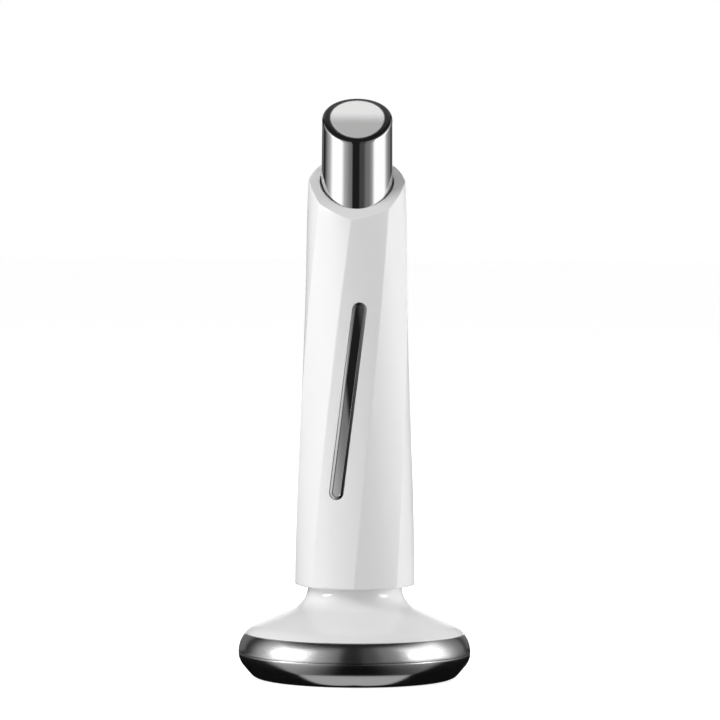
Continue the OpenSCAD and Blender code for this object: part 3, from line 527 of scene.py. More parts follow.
class Spot:
    """A place on the handle seen square on: across and along the view, and into it.

    It lies at an azimuth, with its middle at a height and a distance across, and may lean.
    """

    def __init__(self, form, azimuth, mid_x, mid_z, lean=0.0):
        self.form, self.azimuth = form, azimuth
        self.mid_x, self.mid_z, self.lean = mid_x, mid_z, lean

    def level(self, flat):
        """Distance across and height of points given across and along the leaning spot."""
        c, s = math.cos(self.lean), math.sin(self.lean)
        x = self.mid_x + flat[..., 0] * c + flat[..., 1] * s
        return x, self.mid_z - flat[..., 0] * s + flat[..., 1] * c

    def skin(self, x, z):
        """How far the handle's surface stands out at a distance across and a height.

        The azimuth whose sine times the surface's distance is x is found by repetition.
        """
        a = np.zeros_like(x)
        for _ in range(16):
            a = np.arcsin(np.clip(x / self.form.radius(a + self.azimuth, z), -1, 1))
        return self.form.radius(a + self.azimuth, z) * np.cos(a)

    def points(self, flat, out):
        """Points at a distance out from the axis along the view."""
        x, z = self.level(flat)
        c, s = math.cos(self.azimuth), math.sin(self.azimuth)
        return np.stack([x * c + out * s, x * s - out * c, z], -1)

    def on_skin(self, flat, depth):
        """Points at a depth under the handle's surface."""
        return self.points(flat, self.skin(*self.level(flat)) - depth)

    def ring(self, outline, normals, section):
        """Rows of a ring: (offset outwards, depth under the surface) carried round."""
        return np.array([self.on_skin(outline + normals * o, d) for o, d in section])

    def cutter(self, name, outline, near, far):
        """A straight-sided prism from in front of the surface to a depth under it."""
        rows = np.array([self.on_skin(outline, near), self.on_skin(outline, far)])
        n = len(outline)
        mesh = bpy.data.meshes.new(name)
        caps = [list(range(n)), list(range(n, 2 * n))]
        mesh.from_pydata(rows.reshape(-1, 3), [], grid_faces(2, n, False).tolist() + caps)
        work = bmesh.new()
        work.from_mesh(mesh)
        bmesh.ops.recalc_face_normals(work, faces=work.faces)
        bmesh.ops.triangulate(work, faces=[f for f in work.faces if len(f.verts) > 4])
        work.to_mesh(mesh)
        work.free()
        return bpy.data.objects.new(name, mesh)


def handle_form():
    """The handle's form from the settings."""
    return HandleForm(settings().handle)


def strip_spot(form):
    """Where the contact strip lies."""
    s = settings().strip
    return Spot(form, 0.0, s.mid_x, s.mid_z, s.lean)


def back_spot(form, z):
    """A place at a height in the middle of the back."""
    return Spot(form, math.pi, 0.0, z)


def socket_spot(form):
    """Where the charging socket lies, in the fourth facet from the front corner."""
    b = settings().back
    return Spot(form, form.turn(b.socket_z) + 3.5 * form.step, 0.0, b.socket_z)


def cut_openings(skin, cutters):
    """Takes the cutters' forms out of the skin and keeps the result as its mesh."""
    for cutter in cutters:
        bpy.context.scene.collection.objects.link(cutter)
        cut = skin.modifiers.new(cutter.name, "BOOLEAN")
        cut.operation, cut.solver, cut.object = "DIFFERENCE", "EXACT", cutter
    bpy.context.view_layer.update()
    graph = bpy.context.evaluated_depsgraph_get()
    mesh = bpy.data.meshes.new_from_object(skin.evaluated_get(graph))
    skin.modifiers.clear()
    skin.data = mesh
    for cutter in cutters:
        bpy.data.meshes.remove(cutter.data)
    return mesh


def read(items, key, width, kind=float):
    """An attribute of all of a mesh's items as rows of an array."""
    values = np.empty(len(items) * width, kind)
    items.foreach_get(key, values)
    return values.reshape(-1, width)


def true_normals(mesh, form):
    """Sets the shading normals of the handle's facets to those of its formula.

    A face corner gets one where it lies on the surface and its face looks out; the others
    keep the normals of their own smooth region.
    """
    mesh.set_sharp_from_angle(angle=math.radians(SHARP))
    spot = read(mesh.vertices, "co", 3)[read(mesh.loops, "vertex_index", 1, np.int32)[:, 0]]
    sides = read(mesh.polygons, "loop_total", 1, np.int32)[:, 0]
    facing = np.repeat(read(mesh.polygons, "normal", 3), sides, axis=0)
    azimuth = np.arctan2(spot[:, 0], -spot[:, 1])
    z = spot[:, 2]
    off = np.hypot(spot[:, 0], spot[:, 1]) - form.radius(azimuth, z)
    normal = form.normal(azimuth, z)
    h = form.h
    fits = np.abs(off) < 6e-6
    fits &= z > h.low_z + 0.9 * h.edge_round
    fits &= z < form.cut_height(spot[:, 1]) - 1.2 * h.lip_round
    fits &= np.sum(normal * facing, -1) > 0.9
    mesh.normals_split_custom_set(np.where(fits[:, None], normal, 0).tolist())


def surround(name, spot, outline, normals, thick, material):
    """The rounded edge of an opening: a ring that fills the cut up to the clear outline."""
    r = settings().back.round_r
    section = [(r * (1 - math.sin(a)), r * (1 - math.cos(a))) for a in arc(0, 90, 8)]
    section += [(0, thick), (r, thick)]
    thing = piece(name, spot.ring(outline, normals, section), material)
    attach(thing, "handle")


def build_handle():
    """The handle's skin with its openings, and the rounded edges of those on the back."""
    form, s, b = handle_form(), settings().strip, settings().back
    white = finish("white_shell")
    skin = piece("handle_skin", handle_rows(form), white)
    strip, socket = strip_spot(form), socket_spot(form)
    button, window = back_spot(form, b.button_z), back_spot(form, b.window_z)
    r = b.round_r
    seat, _ = stadium(s.width + 2 * s.gap, s.run + 2 * s.gap)
    keyhole, keyhole_n = stadium(b.button_w + 2 * b.button_gap, b.button_l + 2 * b.button_gap)
    mouth, mouth_n = stadium(b.socket_w + 2 * b.mouth_gap, b.socket_l + 2 * b.mouth_gap)
    hole, _ = stadium(2 * b.window_r + 0.1 * MM, 2 * b.window_r + 0.1 * MM + 1e-6)
    mesh = cut_openings(
        skin,
        [
            strip.cutter("strip_seat", seat, -1 * MM, s.depth + 0.05 * MM),
            button.cutter("button_hole", keyhole + r * keyhole_n, -1 * MM, 4 * MM),
            socket.cutter("socket_hole", mouth + r * mouth_n, -1 * MM, 5 * MM),
            window.cutter("window_hole", hole, -1 * MM, 4 * MM),
        ],
    )
    true_normals(mesh, form)
    dress(skin, "handle", "handle_shell", "white_shell")
    surround("button_edge", button, keyhole, keyhole_n, 1.2 * MM, white)
    surround("socket_edge", socket, mouth, mouth_n, 2.2 * MM, white)


# ---- Strip, button, window and socket ----


def build_strip():
    """The strip: a frame that rises inwards to a crest, and a mirror floor inside it.

    The rim's section is a parabola that has the settings' slopes at its edge and its crest.
    """
    form, s = handle_form(), settings().strip
    spot = strip_spot(form)
    outline, normals = stadium(s.width, s.run)
    steep, flat = math.tan(s.rim_slope), math.tan(s.crest_slope)
    t = np.linspace(0, 0.94, 9)
    rise = s.rim_w * (steep * t - (steep - flat) * t * t / 2)
    section = list(zip(-s.rim_w * t, rise[-1] - s.proud - rise))
    crest_drop = 0.015 * MM
    section.append((-s.rim_w, crest_drop - s.proud))
    section += [(-s.rim_w, s.sink), (-s.rim_w, s.depth), (0, s.depth)]
    rows = spot.ring(outline, normals, section)
    part("strip_rim", rows, "strip_frame", "strip_chrome", crease=30)
    play = 0.01 * MM
    floor, normals = stadium(s.width - 2 * s.rim_w - 2 * play, s.run - 2 * s.rim_w - 2 * play)
    half = s.width / 2 - s.rim_w - play
    steps = np.linspace(-half, 0, 7)
    section = [(o, s.depth) for o in steps] + [(o, s.sink) for o in steps[::-1]]
    rows = spot.ring(floor, normals, section)
    part("strip_mirror", rows, "strip_contact", "strip_mirror", ring_rows=False, crease=30)


def dished(flat, top, b):
    """How far the button's flat top with a ball-shaped dish stands out at points of it."""
    x, z = flat[:, 0], flat[:, 1]
    ball = top + b.dish_r - b.dish - np.sqrt(b.dish_r**2 - x * x - z * z)
    return np.minimum(top, ball)


def build_button():
    """The button: a rounded stadium with a dish for the fingertip."""
    form, b = handle_form(), settings().back
    spot = back_spot(form, b.button_z)
    outline, normals = stadium(b.button_w, b.button_l)
    top = form.facet_r(b.button_z) + b.button_proud
    edge_r, foot = 0.35 * MM, 2.2 * MM
    rows = []
    for offset, depth in [(-b.button_w / 2, foot), (0, foot), (0, 1.4 * MM)]:
        rows.append(spot.points(outline + normals * offset, top - depth))
    for a in arc(0, 90, 8):
        flat = outline - normals * edge_r * (1 - math.cos(a))
        rows.append(spot.points(flat, dished(flat, top, b) - edge_r * (1 - math.sin(a))))
    for offset in np.linspace(edge_r, b.button_w / 2, 16)[1:]:
        flat = outline - normals * offset
        rows.append(spot.points(flat, dished(flat, top, b)))
    part("button_cap", rows, "power_button", "button_white", "button", ring_rows=False)


def build_window():
    """The light window: a small round pill with a domed end."""
    form, b = handle_form(), settings().back
    spot = back_spot(form, b.window_z)
    t = np.arange(48) / 48 * TAU
    round_xy = np.stack([np.cos(t), np.sin(t)], -1)
    top = form.facet_r(b.window_z) + 0.05 * MM
    foot = top - 3.6 * MM
    rows = [spot.points(round_xy * r, foot) for r in (0, b.window_r)]
    for out in np.linspace(1, 0, 12):
        drop = 0.12 * MM * out**2 + 0.1 * MM * out**12
        rows.append(spot.points(round_xy * b.window_r * out, top - drop))
    part("light_window", rows, "indicator_lens", "lens", ring_rows=False)


def build_socket():
    """The socket: a folded metal shell with a flared mouth, and the tongue inside it."""
    form, b = handle_form(), settings().back
    spot = socket_spot(form)
    mouth = form.facet_r(b.socket_z) - b.socket_in
    back = mouth - b.socket_depth
    outline, normals = stadium(b.socket_w, b.socket_l)
    half, wall, soft, nick = b.socket_w / 2, 0.3 * MM, 0.1 * MM, 0.03 * MM
    floor = back + 0.4 * MM
    section = [(-half, back), (0, back), (0, mouth - soft), (-nick, mouth - nick)]
    section += [(-soft, mouth), (-0.7 * wall, mouth - nick), (-wall, mouth - 1.6 * soft)]
    section += [(-wall, floor), (-half, floor)]
    rows = [spot.points(outline + normals * o, out) for o, out in section]
    part("socket_mouth", rows, "charge_socket", "socket_steel", ring_rows=False)
    thick = 0.6 * MM
    bar, bar_n = stadium(thick, b.socket_l - 3.2 * MM, count=10)
    section = [(-thick / 2, floor), (0, floor), (0, mouth - 0.95 * MM)]
    section += [(-0.1 * MM, mouth - 0.84 * MM), (-thick / 2, mouth - 0.8 * MM)]
    rows = [spot.points(bar + bar_n * o, out) for o, out in section]
    part("socket_tongue", rows, "charge_tongue", "black_plastic", ring_rows=False)


# ---- Eye tip ----


def build_tip():
    """The tip: a drafted cup whose slanting, curved face runs into a round polished rim.

    Over a point its top lies on the face's arc, less the drop of the rim's quarter circle at
    that distance from the axis.
    """
    t = settings().tip
    columns = 240
    turn = np.arange(columns) / columns * TAU
    face_y, face_z = t.curve_r * math.sin(t.slant), t.face_z - t.curve_r * math.cos(t.slant)
    rim = t.foot_r - t.draft
    flat_r = rim - t.rim_r

    def ring(r, drop=0.0, curve_r=t.curve_r):
        y = r * np.sin(turn)
        z = face_z + np.sqrt(curve_r**2 - (y - face_y) ** 2) - drop
        return np.stack([r * np.cos(turn), y, z], -1)

    core, ceiling = rim - t.wall, t.curve_r - 0.9 * MM
    inner = [ring(core * s, curve_r=ceiling) for s in np.linspace(0, 1, 8)]
    bevel, round_foot = 0.1 * MM, 0.15 * MM
    foot = [(core, t.foot_z + bevel), (core + bevel, t.foot_z)]
    foot += [(t.foot_r - round_foot, t.foot_z), (t.foot_r, t.foot_z + round_foot)]
    foot = turned(foot, columns)
    rise = ring(rim, t.rim_r) - foot[-1]
    side = [foot[-1] + rise * s for s in np.linspace(0, 1, 40)[1:]]
    curve = []
    for a in arc(0, 90, 20)[1:]:
        curve.append(ring(flat_r + t.rim_r * math.cos(a), t.rim_r * (1 - math.sin(a))))
    face = [ring(flat_r * s) for s in np.linspace(1, 0, 16)[1:]]
    rows = [*inner, *foot, *side, *curve, *face]
    part("tip_cup", rows, "eye_tip", "tip_chrome", ring_rows=False, crease=50)


# ---- Base ----


def sweep(b, shift, steps=24):
    """The hollow sweep below the neck, shifted out from the surface."""
    line_r = b.max_r - b.shoulder_r + b.shoulder_r * math.sin(b.slope)
    line_z = b.seam_z + b.shoulder_r * math.cos(b.slope)
    centre_r = b.neck_r + b.sweep_r
    end_r = centre_r - b.sweep_r * math.sin(b.slope)
    centre_z = line_z + (line_r - end_r) * math.tan(b.slope) + b.sweep_r * math.cos(b.slope)
    a = arc(180, 270 - math.degrees(b.slope), steps)
    return bow((centre_r, centre_z), b.sweep_r - shift, a)


def shoulder(b, shift, high_z, low_z, steps=24):
    """The round shoulder between two heights; None starts where the straight part ends."""
    r = b.shoulder_r + shift
    start = 90 - math.degrees(b.slope) if high_z is None else degrees_up(high_z - b.seam_z, r)
    a = arc(start, degrees_up(low_z - b.seam_z, r), steps)
    return bow((b.max_r - b.shoulder_r, b.seam_z), r, a)


def degrees_up(rise, radius):
    """Angle of a point on a circle at a rise above its centre."""
    return math.degrees(math.asin(rise / radius))


def plate_edge(b, inset, high_z, steps=24):
    """The plate's edge from its flat up to a height, moved inwards by an inset.

    An arc at the floor and an arc below the seam, both of which touch one slanting line.
    """
    rise, lift = b.low_r - b.seam_z, b.round_r - b.low_r
    flat_r = b.max_r - b.round_r + (rise * math.sin(b.taper) + lift) / math.cos(b.taper)
    taper, big = math.degrees(b.taper), b.round_r - inset
    lower = bow((flat_r, b.low_r), b.low_r - inset, arc(-90, -taper, steps))
    high = arc(-taper, degrees_up(high_z - b.seam_z, big), steps)
    upper = bow((b.max_r - b.round_r, b.seam_z), big, high)
    side = lower[-1] + (upper[0] - lower[-1]) * np.linspace(0, 1, 5)[1:-1, None]
    return np.concatenate([lower, side, upper])


def build_base():
    """The white base, its bright ring and its bright plate, all turned about the axis.

    The outline is a hollow sweep, a straight shoulder, a round shoulder down to the seam and
    the plate's edge under it. Where parts meet, each has a small round lip.
    """
    b, h = settings().base, settings().handle
    play = 0.04 * MM
    top_z = h.low_z - play
    core_r = b.neck_r - b.wall - 1.2 * MM
    skirt_r = b.max_r - 3.98 * MM
    low = b.ring_top_z
    white = shoulder(b, 0, None, low)
    edge = round_corner(white[-6], white[-1], [skirt_r, low], b.lip_r)
    bend = sweep(b, 0)
    straight = bend[-1] + (white[0] - bend[-1]) * np.linspace(0, 1, 8)[1:-1, None]
    inner = shoulder(b, -b.wall, None, low)
    inner = inner[inner[:, 0] < skirt_r - 1.6 * MM]
    neck = [[core_r, top_z], [b.neck_r, top_z]]
    foot_z, step_r = b.seam_z - 1.2 * MM, skirt_r - 1.5 * MM
    skirt = [[skirt_r, low], [skirt_r, foot_z], [step_r, foot_z], [step_r, low]]
    outline = [*neck, *bend, *straight, *white[:-1]]
    keep = [p for p in outline if p[1] > edge[0][1] or p[0] < b.neck_r + 1 * MM]
    profile = [*keep, *edge, *skirt, *inner[::-1], *sweep(b, -b.wall)[::-1]]
    part("base_shell", turned(profile), "base_housing", "white_base")

    ring_in = b.max_r - 3.9 * MM
    high, seam = low - play, b.seam_z + b.seam_gap / 2
    bright = shoulder(b, 0, high, seam)
    upper = round_corner([ring_in, high], bright[0], bright[6], b.ring_lip_r)
    groove = [b.max_r - 0.7 * MM, seam]
    lower = round_corner(bright[-6], bright[-1], groove, b.ring_lip_r)
    body = bright[(bright[:, 1] < upper[-1][1]) & (bright[:, 1] > lower[0][1])]
    profile = [[ring_in, high], *upper, *body, *lower, groove]
    profile += [[b.max_r - 1.1 * MM, seam - 0.3 * MM], [ring_in, seam - 0.3 * MM]]
    part("bright_ring", turned(profile), "trim_ring", "ring_chrome")

    top = b.seam_z - b.seam_gap / 2
    outer = plate_edge(b, 0, top)
    brink = [b.max_r - 0.5 * MM, top]
    corner = round_corner(outer[-8], outer[-1], brink, b.lip_r)
    outer = outer[outer[:, 1] < corner[0][1]]
    disc = [[outer[0][0] * s, 0] for s in np.linspace(0, 1, 14)[:-1]]
    under = plate_edge(b, b.plate_t, top - 0.5 * MM)[::-1]
    profile = [*disc, *outer, *corner, brink, *under]
    profile += [[under[-1][0] * s, b.plate_t] for s in (0.66, 0.33, 0)]
    part("glide_plate", turned(profile), "massage_plate", "plate_chrome", ring_rows=False)


# ---- Finishes ----


def add(tree, kind, inputs=(), **values):
    """A node with its values; inputs maps a socket to a value or to a socket it is fed by."""
    made = tree.nodes.new(kind)
    for name, value in values.items():
        setattr(made, name, value)
    for key, value in dict(inputs).items():
        if isinstance(value, bpy.types.NodeSocket):
            tree.links.new(value, made.inputs[key])
        else:
            made.inputs[key].default_value = value
    return made


def maths(tree, operation, *values):
    """The result of a Math node."""
    return add(tree, "ShaderNodeMath", enumerate(values), operation=operation).outputs[0]


def product(tree, first, *others):
    """The product of several values."""
    for value in others:
        first = maths(tree, "MULTIPLY", first, value)
    return first


def total(tree, first, *others):
    """The sum of several values."""
    for value in others:
        first = maths(tree, "ADD", first, value)
    return first


def new_material(name):
    """An empty material with its tree of nodes."""
    material = bpy.data.materials.new(name)
    material.use_nodes = True
    return material, material.node_tree


def effect(name, inputs, outputs):
    """An empty node group with named sockets, and its two ends."""
    tree = bpy.data.node_groups.new(name, "ShaderNodeTree")
    for label, kind, value in inputs:
        tree.interface.new_socket(label, in_out="INPUT", socket_type=kind).default_value = value
    for label, kind in outputs:
        tree.interface.new_socket(label, in_out="OUTPUT", socket_type=kind)
    return tree, tree.nodes.new("NodeGroupInput"), tree.nodes.new("NodeGroupOutput")


def grain_group():
    """Group for every finish: slow changes of tone and gloss, and a fine grain's height.

    Three noises read the object's coordinates: one of centimetres darkens the colour a
    little, one of millimetres changes the roughness, and a fine one, which may be drawn out
    along the wand, gives the height.
    """
    known = bpy.data.node_groups.get("surface_grain")
    if known:
        return known
    number, tint = "NodeSocketFloat", "NodeSocketColor"
    inputs = [
        ("Colour", tint, (0.8, 0.8, 0.8, 1)),
        ("Tone Change", number, 0.03),
        ("Roughness", number, 0.3),
        ("Gloss Change", number, 0.05),
        ("Grain", number, 1500.0),
        ("Draw", number, 1.0),
    ]
    outputs = [("Colour", tint), ("Roughness", number), ("Height", number)]
    tree, given, result = effect("surface_grain", inputs, outputs)
    where = add(tree, "ShaderNodeTexCoord").outputs["Object"]
    slow = add(tree, "ShaderNodeTexNoise", {"Vector": where, "Scale": 60.0, "Detail": 2.0})
    gloss = add(tree, "ShaderNodeTexNoise", {"Vector": where, "Scale": 420.0, "Detail": 4.0})
    scale = add(tree, "ShaderNodeCombineXYZ", {"X": 1.0, "Y": 1.0, "Z": given.outputs["Draw"]})
    both = {0: where, 1: scale.outputs[0]}
    drawn = add(tree, "ShaderNodeVectorMath", both, operation="MULTIPLY").outputs[0]
    fine = {"Vector": drawn, "Scale": given.outputs["Grain"], "Detail": 3.0}
    grain = add(tree, "ShaderNodeTexNoise", fine)
    dim = product(tree, slow.outputs[0], given.outputs["Tone Change"])
    dimmed = {0: given.outputs["Colour"], "Scale": maths(tree, "SUBTRACT", 1.0, dim)}
    tone = add(tree, "ShaderNodeVectorMath", dimmed, operation="SCALE")
    swing = maths(tree, "SUBTRACT", gloss.outputs[0], 0.5)
    change = product(tree, swing, given.outputs["Gloss Change"])
    rough = total(tree, given.outputs["Roughness"], change)
    tree.links.new(tone.outputs[0], result.inputs["Colour"])
    tree.links.new(rough, result.inputs["Roughness"])
    tree.links.new(grain.outputs[0], result.inputs["Height"])
    return tree


def grained(
    slot,
    tint,
    rough,
    metal=0.0,
    tone=0.03,
    gloss=0.05,
    grain=1500.0,
    draw=1.0,
    height=1.0,
    pattern=None,
    **shader_values,
):
    """A material on the grain group; height is the grain's depth in micrometres.

    pattern, where given, changes the colour, roughness or height before they reach the shader.
    """
    material, tree = new_material(slot + "_finish")
    shader = tree.nodes["Principled BSDF"]
    shader.inputs["Metallic"].default_value = metal
    for name, value in shader_values.items():
        shader.inputs[name.replace("_", " ").title()].default_value = value
    skin = add(tree, "ShaderNodeGroup", node_tree=grain_group())
    values = [(*tint, 1), tone, rough, gloss, grain, draw]
    for socket, value in zip(skin.inputs, values):
        socket.default_value = value
    look = {"Colour": skin.outputs[0], "Roughness": skin.outputs[1], "Height": skin.outputs[2]}
    if pattern:
        look.update(pattern(tree, look))
    relief = {"Strength": 1.0, "Distance": height * MICROMETRE, "Height": look["Height"]}
    feeds = {"Base Color": look["Colour"], "Roughness": look["Roughness"]}
    feeds["Normal"] = add(tree, "ShaderNodeBump", relief).outputs[0]
    if "Metallic" in look:
        feeds["Metallic"] = look["Metallic"]
    for name, value in feeds.items():
        tree.links.new(value, shader.inputs[name])
    return material


def object_axes(tree):
    """The three object coordinates."""
    where = add(tree, "ShaderNodeTexCoord").outputs["Object"]
    return add(tree, "ShaderNodeSeparateXYZ", {0: where}).outputs


def between(tree, value, low, high):
    """A smooth step from 0 to 1 as the value goes from low to high."""
    inputs = {"Value": value, "From Min": low, "From Max": high}
    return add(tree, "ShaderNodeMapRange", inputs, interpolation_type="SMOOTHSTEP").outputs[0]


def blended(tree, mask, first, second):
    """A mix of two numbers by a mask."""
    mix = add(tree, "ShaderNodeMix", {0: mask, 2: first, 3: second}, data_type="FLOAT")
    return mix.outputs[0]


def tinted(tree, mask, first, second):
    """A mix of two colours by a mask."""
    mix = add(tree, "ShaderNodeMix", {0: mask, 6: first, 7: second}, data_type="RGBA")
    return mix.outputs[2]


def satin_face(tree, look):
    """Blasted inside the polished rim, by distance from the axis.

    Blasting scatters the light, so that the metal looks pale and matt there. The face is less
    metallic at its back than at its front, so that it looks paler at the back: a painted shade,
    darker towards the front, in place of how the light falls on it. The height keeps the tip's
    inner side out of the mask.
    """
    t, f = settings().tip, settings().finish
    narrow, soft, swing, depth = 1.1, 0.25 * MM, 0.08, 2.0
    x, y, z = object_axes(tree)
    off = off_axis(tree, product(tree, x, narrow), total(tree, y, f.satin_shift))
    mask = between(tree, off, t.satin_r + soft, t.satin_r - soft)
    outside = maths(tree, "GREATER_THAN", z, t.foot_z + 10 * MM)
    mask = product(tree, mask, outside)
    where = add(tree, "ShaderNodeTexCoord").outputs["Object"]
    blast = add(tree, "ShaderNodeTexNoise", {"Vector": where, "Scale": 9000.0, "Detail": 2.0})
    frost = maths(tree, "MULTIPLY_ADD", blast.outputs[0], swing, f.satin_rough - swing / 2)
    # Painted shade: less metal at the back makes the satin face paler there and greyer at the
    # front.
    painted_shade_metallic = blended(tree, between(tree, y, -2.5 * MM, 2 * MM), f.satin_front, f.satin_back)
    lift = product(tree, mask, product(tree, blast.outputs[0], depth))
    return {
        "Colour": tinted(tree, mask, look["Colour"], (0.99, 0.99, 0.985, 1)),
        "Roughness": blended(tree, mask, look["Roughness"], frost),
        "Metallic": blended(tree, mask, 1.0, painted_shade_metallic),
        "Height": total(tree, look["Height"], lift),
    }


def wound(tree, look):
    """Wire wound round the axis in close turns, by height; the colour darkens into the grooves
    between turns, a painted shade.
    """
    z = object_axes(tree)[2]
    turns = maths(tree, "SINE", product(tree, z, 26000.0))
    # Painted shade: the copper goes darker towards the grooves between the turns.
    shade = maths(tree, "MULTIPLY_ADD", turns, 0.25, 0.6)
    return {
        "Height": turns,
        "Colour": tinted(tree, shade, (0.2, 0.07, 0.03, 1), look["Colour"]),
    }


def tracks(tree, look):
    """Copper runs under a board's coating, as a checkered net of lines."""
    x, y, z = object_axes(tree)
    across = maths(tree, "PINGPONG", total(tree, x, y), 0.7 * MM)
    along = maths(tree, "PINGPONG", z, 1.9 * MM)
    across = between(tree, across, 0.52 * MM, 0.58 * MM)
    along = between(tree, along, 1.72 * MM, 1.78 * MM)
    line = maths(tree, "MAXIMUM", across, along)
    faint = product(tree, line, 0.6)
    return {
        "Colour": tinted(tree, faint, look["Colour"], (0.1, 0.4, 0.16, 1)),
        "Height": total(tree, look["Height"], product(tree, line, 4.0)),
    }


def heater_runs(tree, look):
    """An etched conductor that runs to and fro in an amber film."""
    y = object_axes(tree)[1]
    line = between(tree, maths(tree, "PINGPONG", y, 0.55 * MM), 0.3 * MM, 0.36 * MM)
    return {"Colour": tinted(tree, line, look["Colour"], (0.62, 0.6, 0.58, 1))}


def wrap_bands(tree, look):
    """A pale band round each end of the cell's wrap."""
    z = object_axes(tree)[2]
    low = between(tree, z, 46.2 * MM, 46.0 * MM)
    high = between(tree, z, 84.8 * MM, 85.0 * MM)
    band = maths(tree, "MAXIMUM", low, high)
    return {"Colour": tinted(tree, band, look["Colour"], (0.75, 0.76, 0.78, 1))}


def ribbed(tree, look):
    """Fine rings of extruded insulation."""
    axes = object_axes(tree)
    along = total(tree, axes[2], product(tree, axes[0], 0.4))
    rings = maths(tree, "SINE", product(tree, along, 21000.0))
    return {"Height": total(tree, look["Height"], rings)}


def finish(slot):
    """The material of one of the record's slots, made when it is first asked for."""
    known = bpy.data.materials.get(slot + "_finish")
    if known:
        return known
    f = settings().finish
    white = dict(tone=0.012, gloss=0.04, grain=1400.0, height=0.5)
    plating = dict(metal=1.0, tone=0.02, gloss=0.03, grain=700.0, height=0.25)
    values = {
        "white_shell": (f.white, f.white_rough, white),
        "white_base": (f.white, f.white_rough, white),
        "button_white": (f.button, 0.32, dict(tone=0.02, gloss=0.08, grain=5200.0, height=4.0)),
        "tip_chrome": (f.metal, f.metal_rough, dict(plating, pattern=satin_face)),
        "ring_chrome": (f.metal, f.ring_rough, plating),
        "plate_chrome": (f.metal, f.ring_rough, plating),
        "strip_chrome": (f.frame, 0.1, plating),
        "strip_mirror": (f.mirror, f.metal_rough, plating),
        "lens": ((0.75, 0.85, 0.95), 0.35, dict(transmission_weight=0.5, grain=6000.0, height=3.0)),
        "steel": ((0.6, 0.6, 0.62), 0.3, dict(metal=1.0, draw=0.05, grain=6000.0, height=2.0)),
        "socket_steel": ((0.72, 0.72, 0.74), 0.2, dict(plating, draw=0.1, grain=4000.0)),
        "black_plastic": ((0.025, 0.025, 0.026), 0.45, dict(tone=0.2, height=3.0)),
        "grey_plastic": ((0.34, 0.34, 0.36), 0.5, dict(tone=0.1, grain=3500.0, height=4.0)),
        "black_rubber": ((0.018, 0.018, 0.018), 0.7, dict(tone=0.2, grain=2500.0, height=6.0)),
        "grey_rubber": ((0.05, 0.05, 0.052), 0.62, dict(tone=0.15, grain=2500.0, height=5.0)),
        "board_green": ((0.02, 0.17, 0.06), 0.3, dict(tone=0.1, pattern=tracks, height=3.0)),
        "heater_film": ((0.75, 0.33, 0.07), 0.3, dict(tone=0.1, pattern=heater_runs)),
        "copper": ((0.72, 0.38, 0.2), 0.35, dict(metal=1.0, pattern=wound, height=20.0)),
        "cell_wrap": ((0.05, 0.17, 0.5), 0.25, dict(tone=0.1, pattern=wrap_bands, height=4.0)),
        "tungsten": ((0.3, 0.3, 0.31), 0.5, dict(metal=1.0, tone=0.2, grain=7000.0, height=6.0)),
        "lead_red": ((0.55, 0.03, 0.03), 0.4, dict(pattern=ribbed, height=3.0)),
        "lead_blue": ((0.03, 0.08, 0.42), 0.4, dict(pattern=ribbed, height=3.0)),
        "lead_black": ((0.02, 0.02, 0.02), 0.4, dict(pattern=ribbed, height=3.0)),
    }
    tint, rough, more = values[slot]
    return grained(slot, tint, rough, **more)


def dress_inside():
    """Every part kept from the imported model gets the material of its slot."""
    for part in frame["record"]["subparts"]:
        mesh = frame["nodes"][part["node"]].data
        mesh.materials.clear()
        mesh.materials.append(finish(part["material_slot"]))


# ---- Studio ----

# What the room round the wand holds for its reflections. Each panel has its two ends as
# azimuths, each with its softness, its lower and upper edges as elevations, their softness, all
# in degrees, and its level. Levels add up where panels overlap.
PANELS = {
    "left soft box": (-91, 9, -46, 7, -90, 36, 5, 0.62),
    "left glow": (-107, 14, -33, 15, -90, 40, 6, 0.3),
    "left screen": (-122, 10, -15, 2.5, -90, 50, 7, 0.16),
    "right soft box": (55, 6, 105, 8, -90, 40, 5, 0.65),
    "right glow": (47, 10, 118, 12, -90, 46, 5, 0.25),
    "right screen": (26, 7, 138, 6, -90, 52, 5, 0.11),
    "right dusk": (8, 3, 143, 4, -90, 53, 5, 0.045),
    "left back": (-190, 3, -139, 4, -90, 60, 20, 0.12),
    "right back": (150, 4, 190, 3, -90, 60, 20, 0.12),
    "left spot": (-82, 5, -60, 5, 12, 21, 1.5, 12.0),
    "right spot": (64, 5, 86, 5, 12, 21, 1.5, 10.0),
    "left backdrop": (-190, 3, -168, 4, -90, 28, 8, 1.0),
    "right backdrop": (168, 4, 190, 3, -90, 28, 8, 1.0),
    "black room": (-180, 1, 180, 1, -90, 95, 1, 0.012),
}


# Each lamp's azimuth and elevation in degrees, and the studio setting of its tone.
LAMPS = {
    "left_lamp": (-65, 0, "left"),
    "high_left_lamp": (-65, 35, "high"),
    "right_lamp": (85, 0, "right"),
    "high_right_lamp": (85, 35, "high_right"),
    "rim_lamp": (115, 0, "rim"),
    "back_lamp": (175, 30, "back"),
}
LAMP_DISTANCE, LAMP_SIZE = 0.9, 0.5
ROOM_R, FLOOR_R = 0.8, 4

# The table top that metal sees. Near the wand its level grows with the distance from the axis:
# it comes up to these levels, left and right, at NEAR_AWAY, each between two azimuths.
NEAR_AWAY = 32 * MM
NEAR_LEFT, NEAR_LEFT_TURN = 0.27, (-6, -42)
NEAR_RIGHT, NEAR_RIGHT_TURN = 0.16, (8, 60)
# Farther out it goes over to these shares of the room's light, left and right.
FAR_AWAY = (36 * MM, 85 * MM)
FAR_LEFT, FAR_RIGHT, FAR_TURN = 0.85, 0.5, (10, 40)
# It is black behind a line: how far that lies in front of the axis, its bend, its softness at
# the bar and how that grows outwards, and where the black ends.
BLACK_LINE, BLACK_BEND = 23.2 * MM, 0.15
BLACK_SOFT, BLACK_SPREAD = 0.3 * MM, 0.35
BLACK_END = (45 * MM, 110 * MM)
BLACK_LEVEL = 0.004
BAR_LEVEL, BAR_R = 0.34, 26 * MM


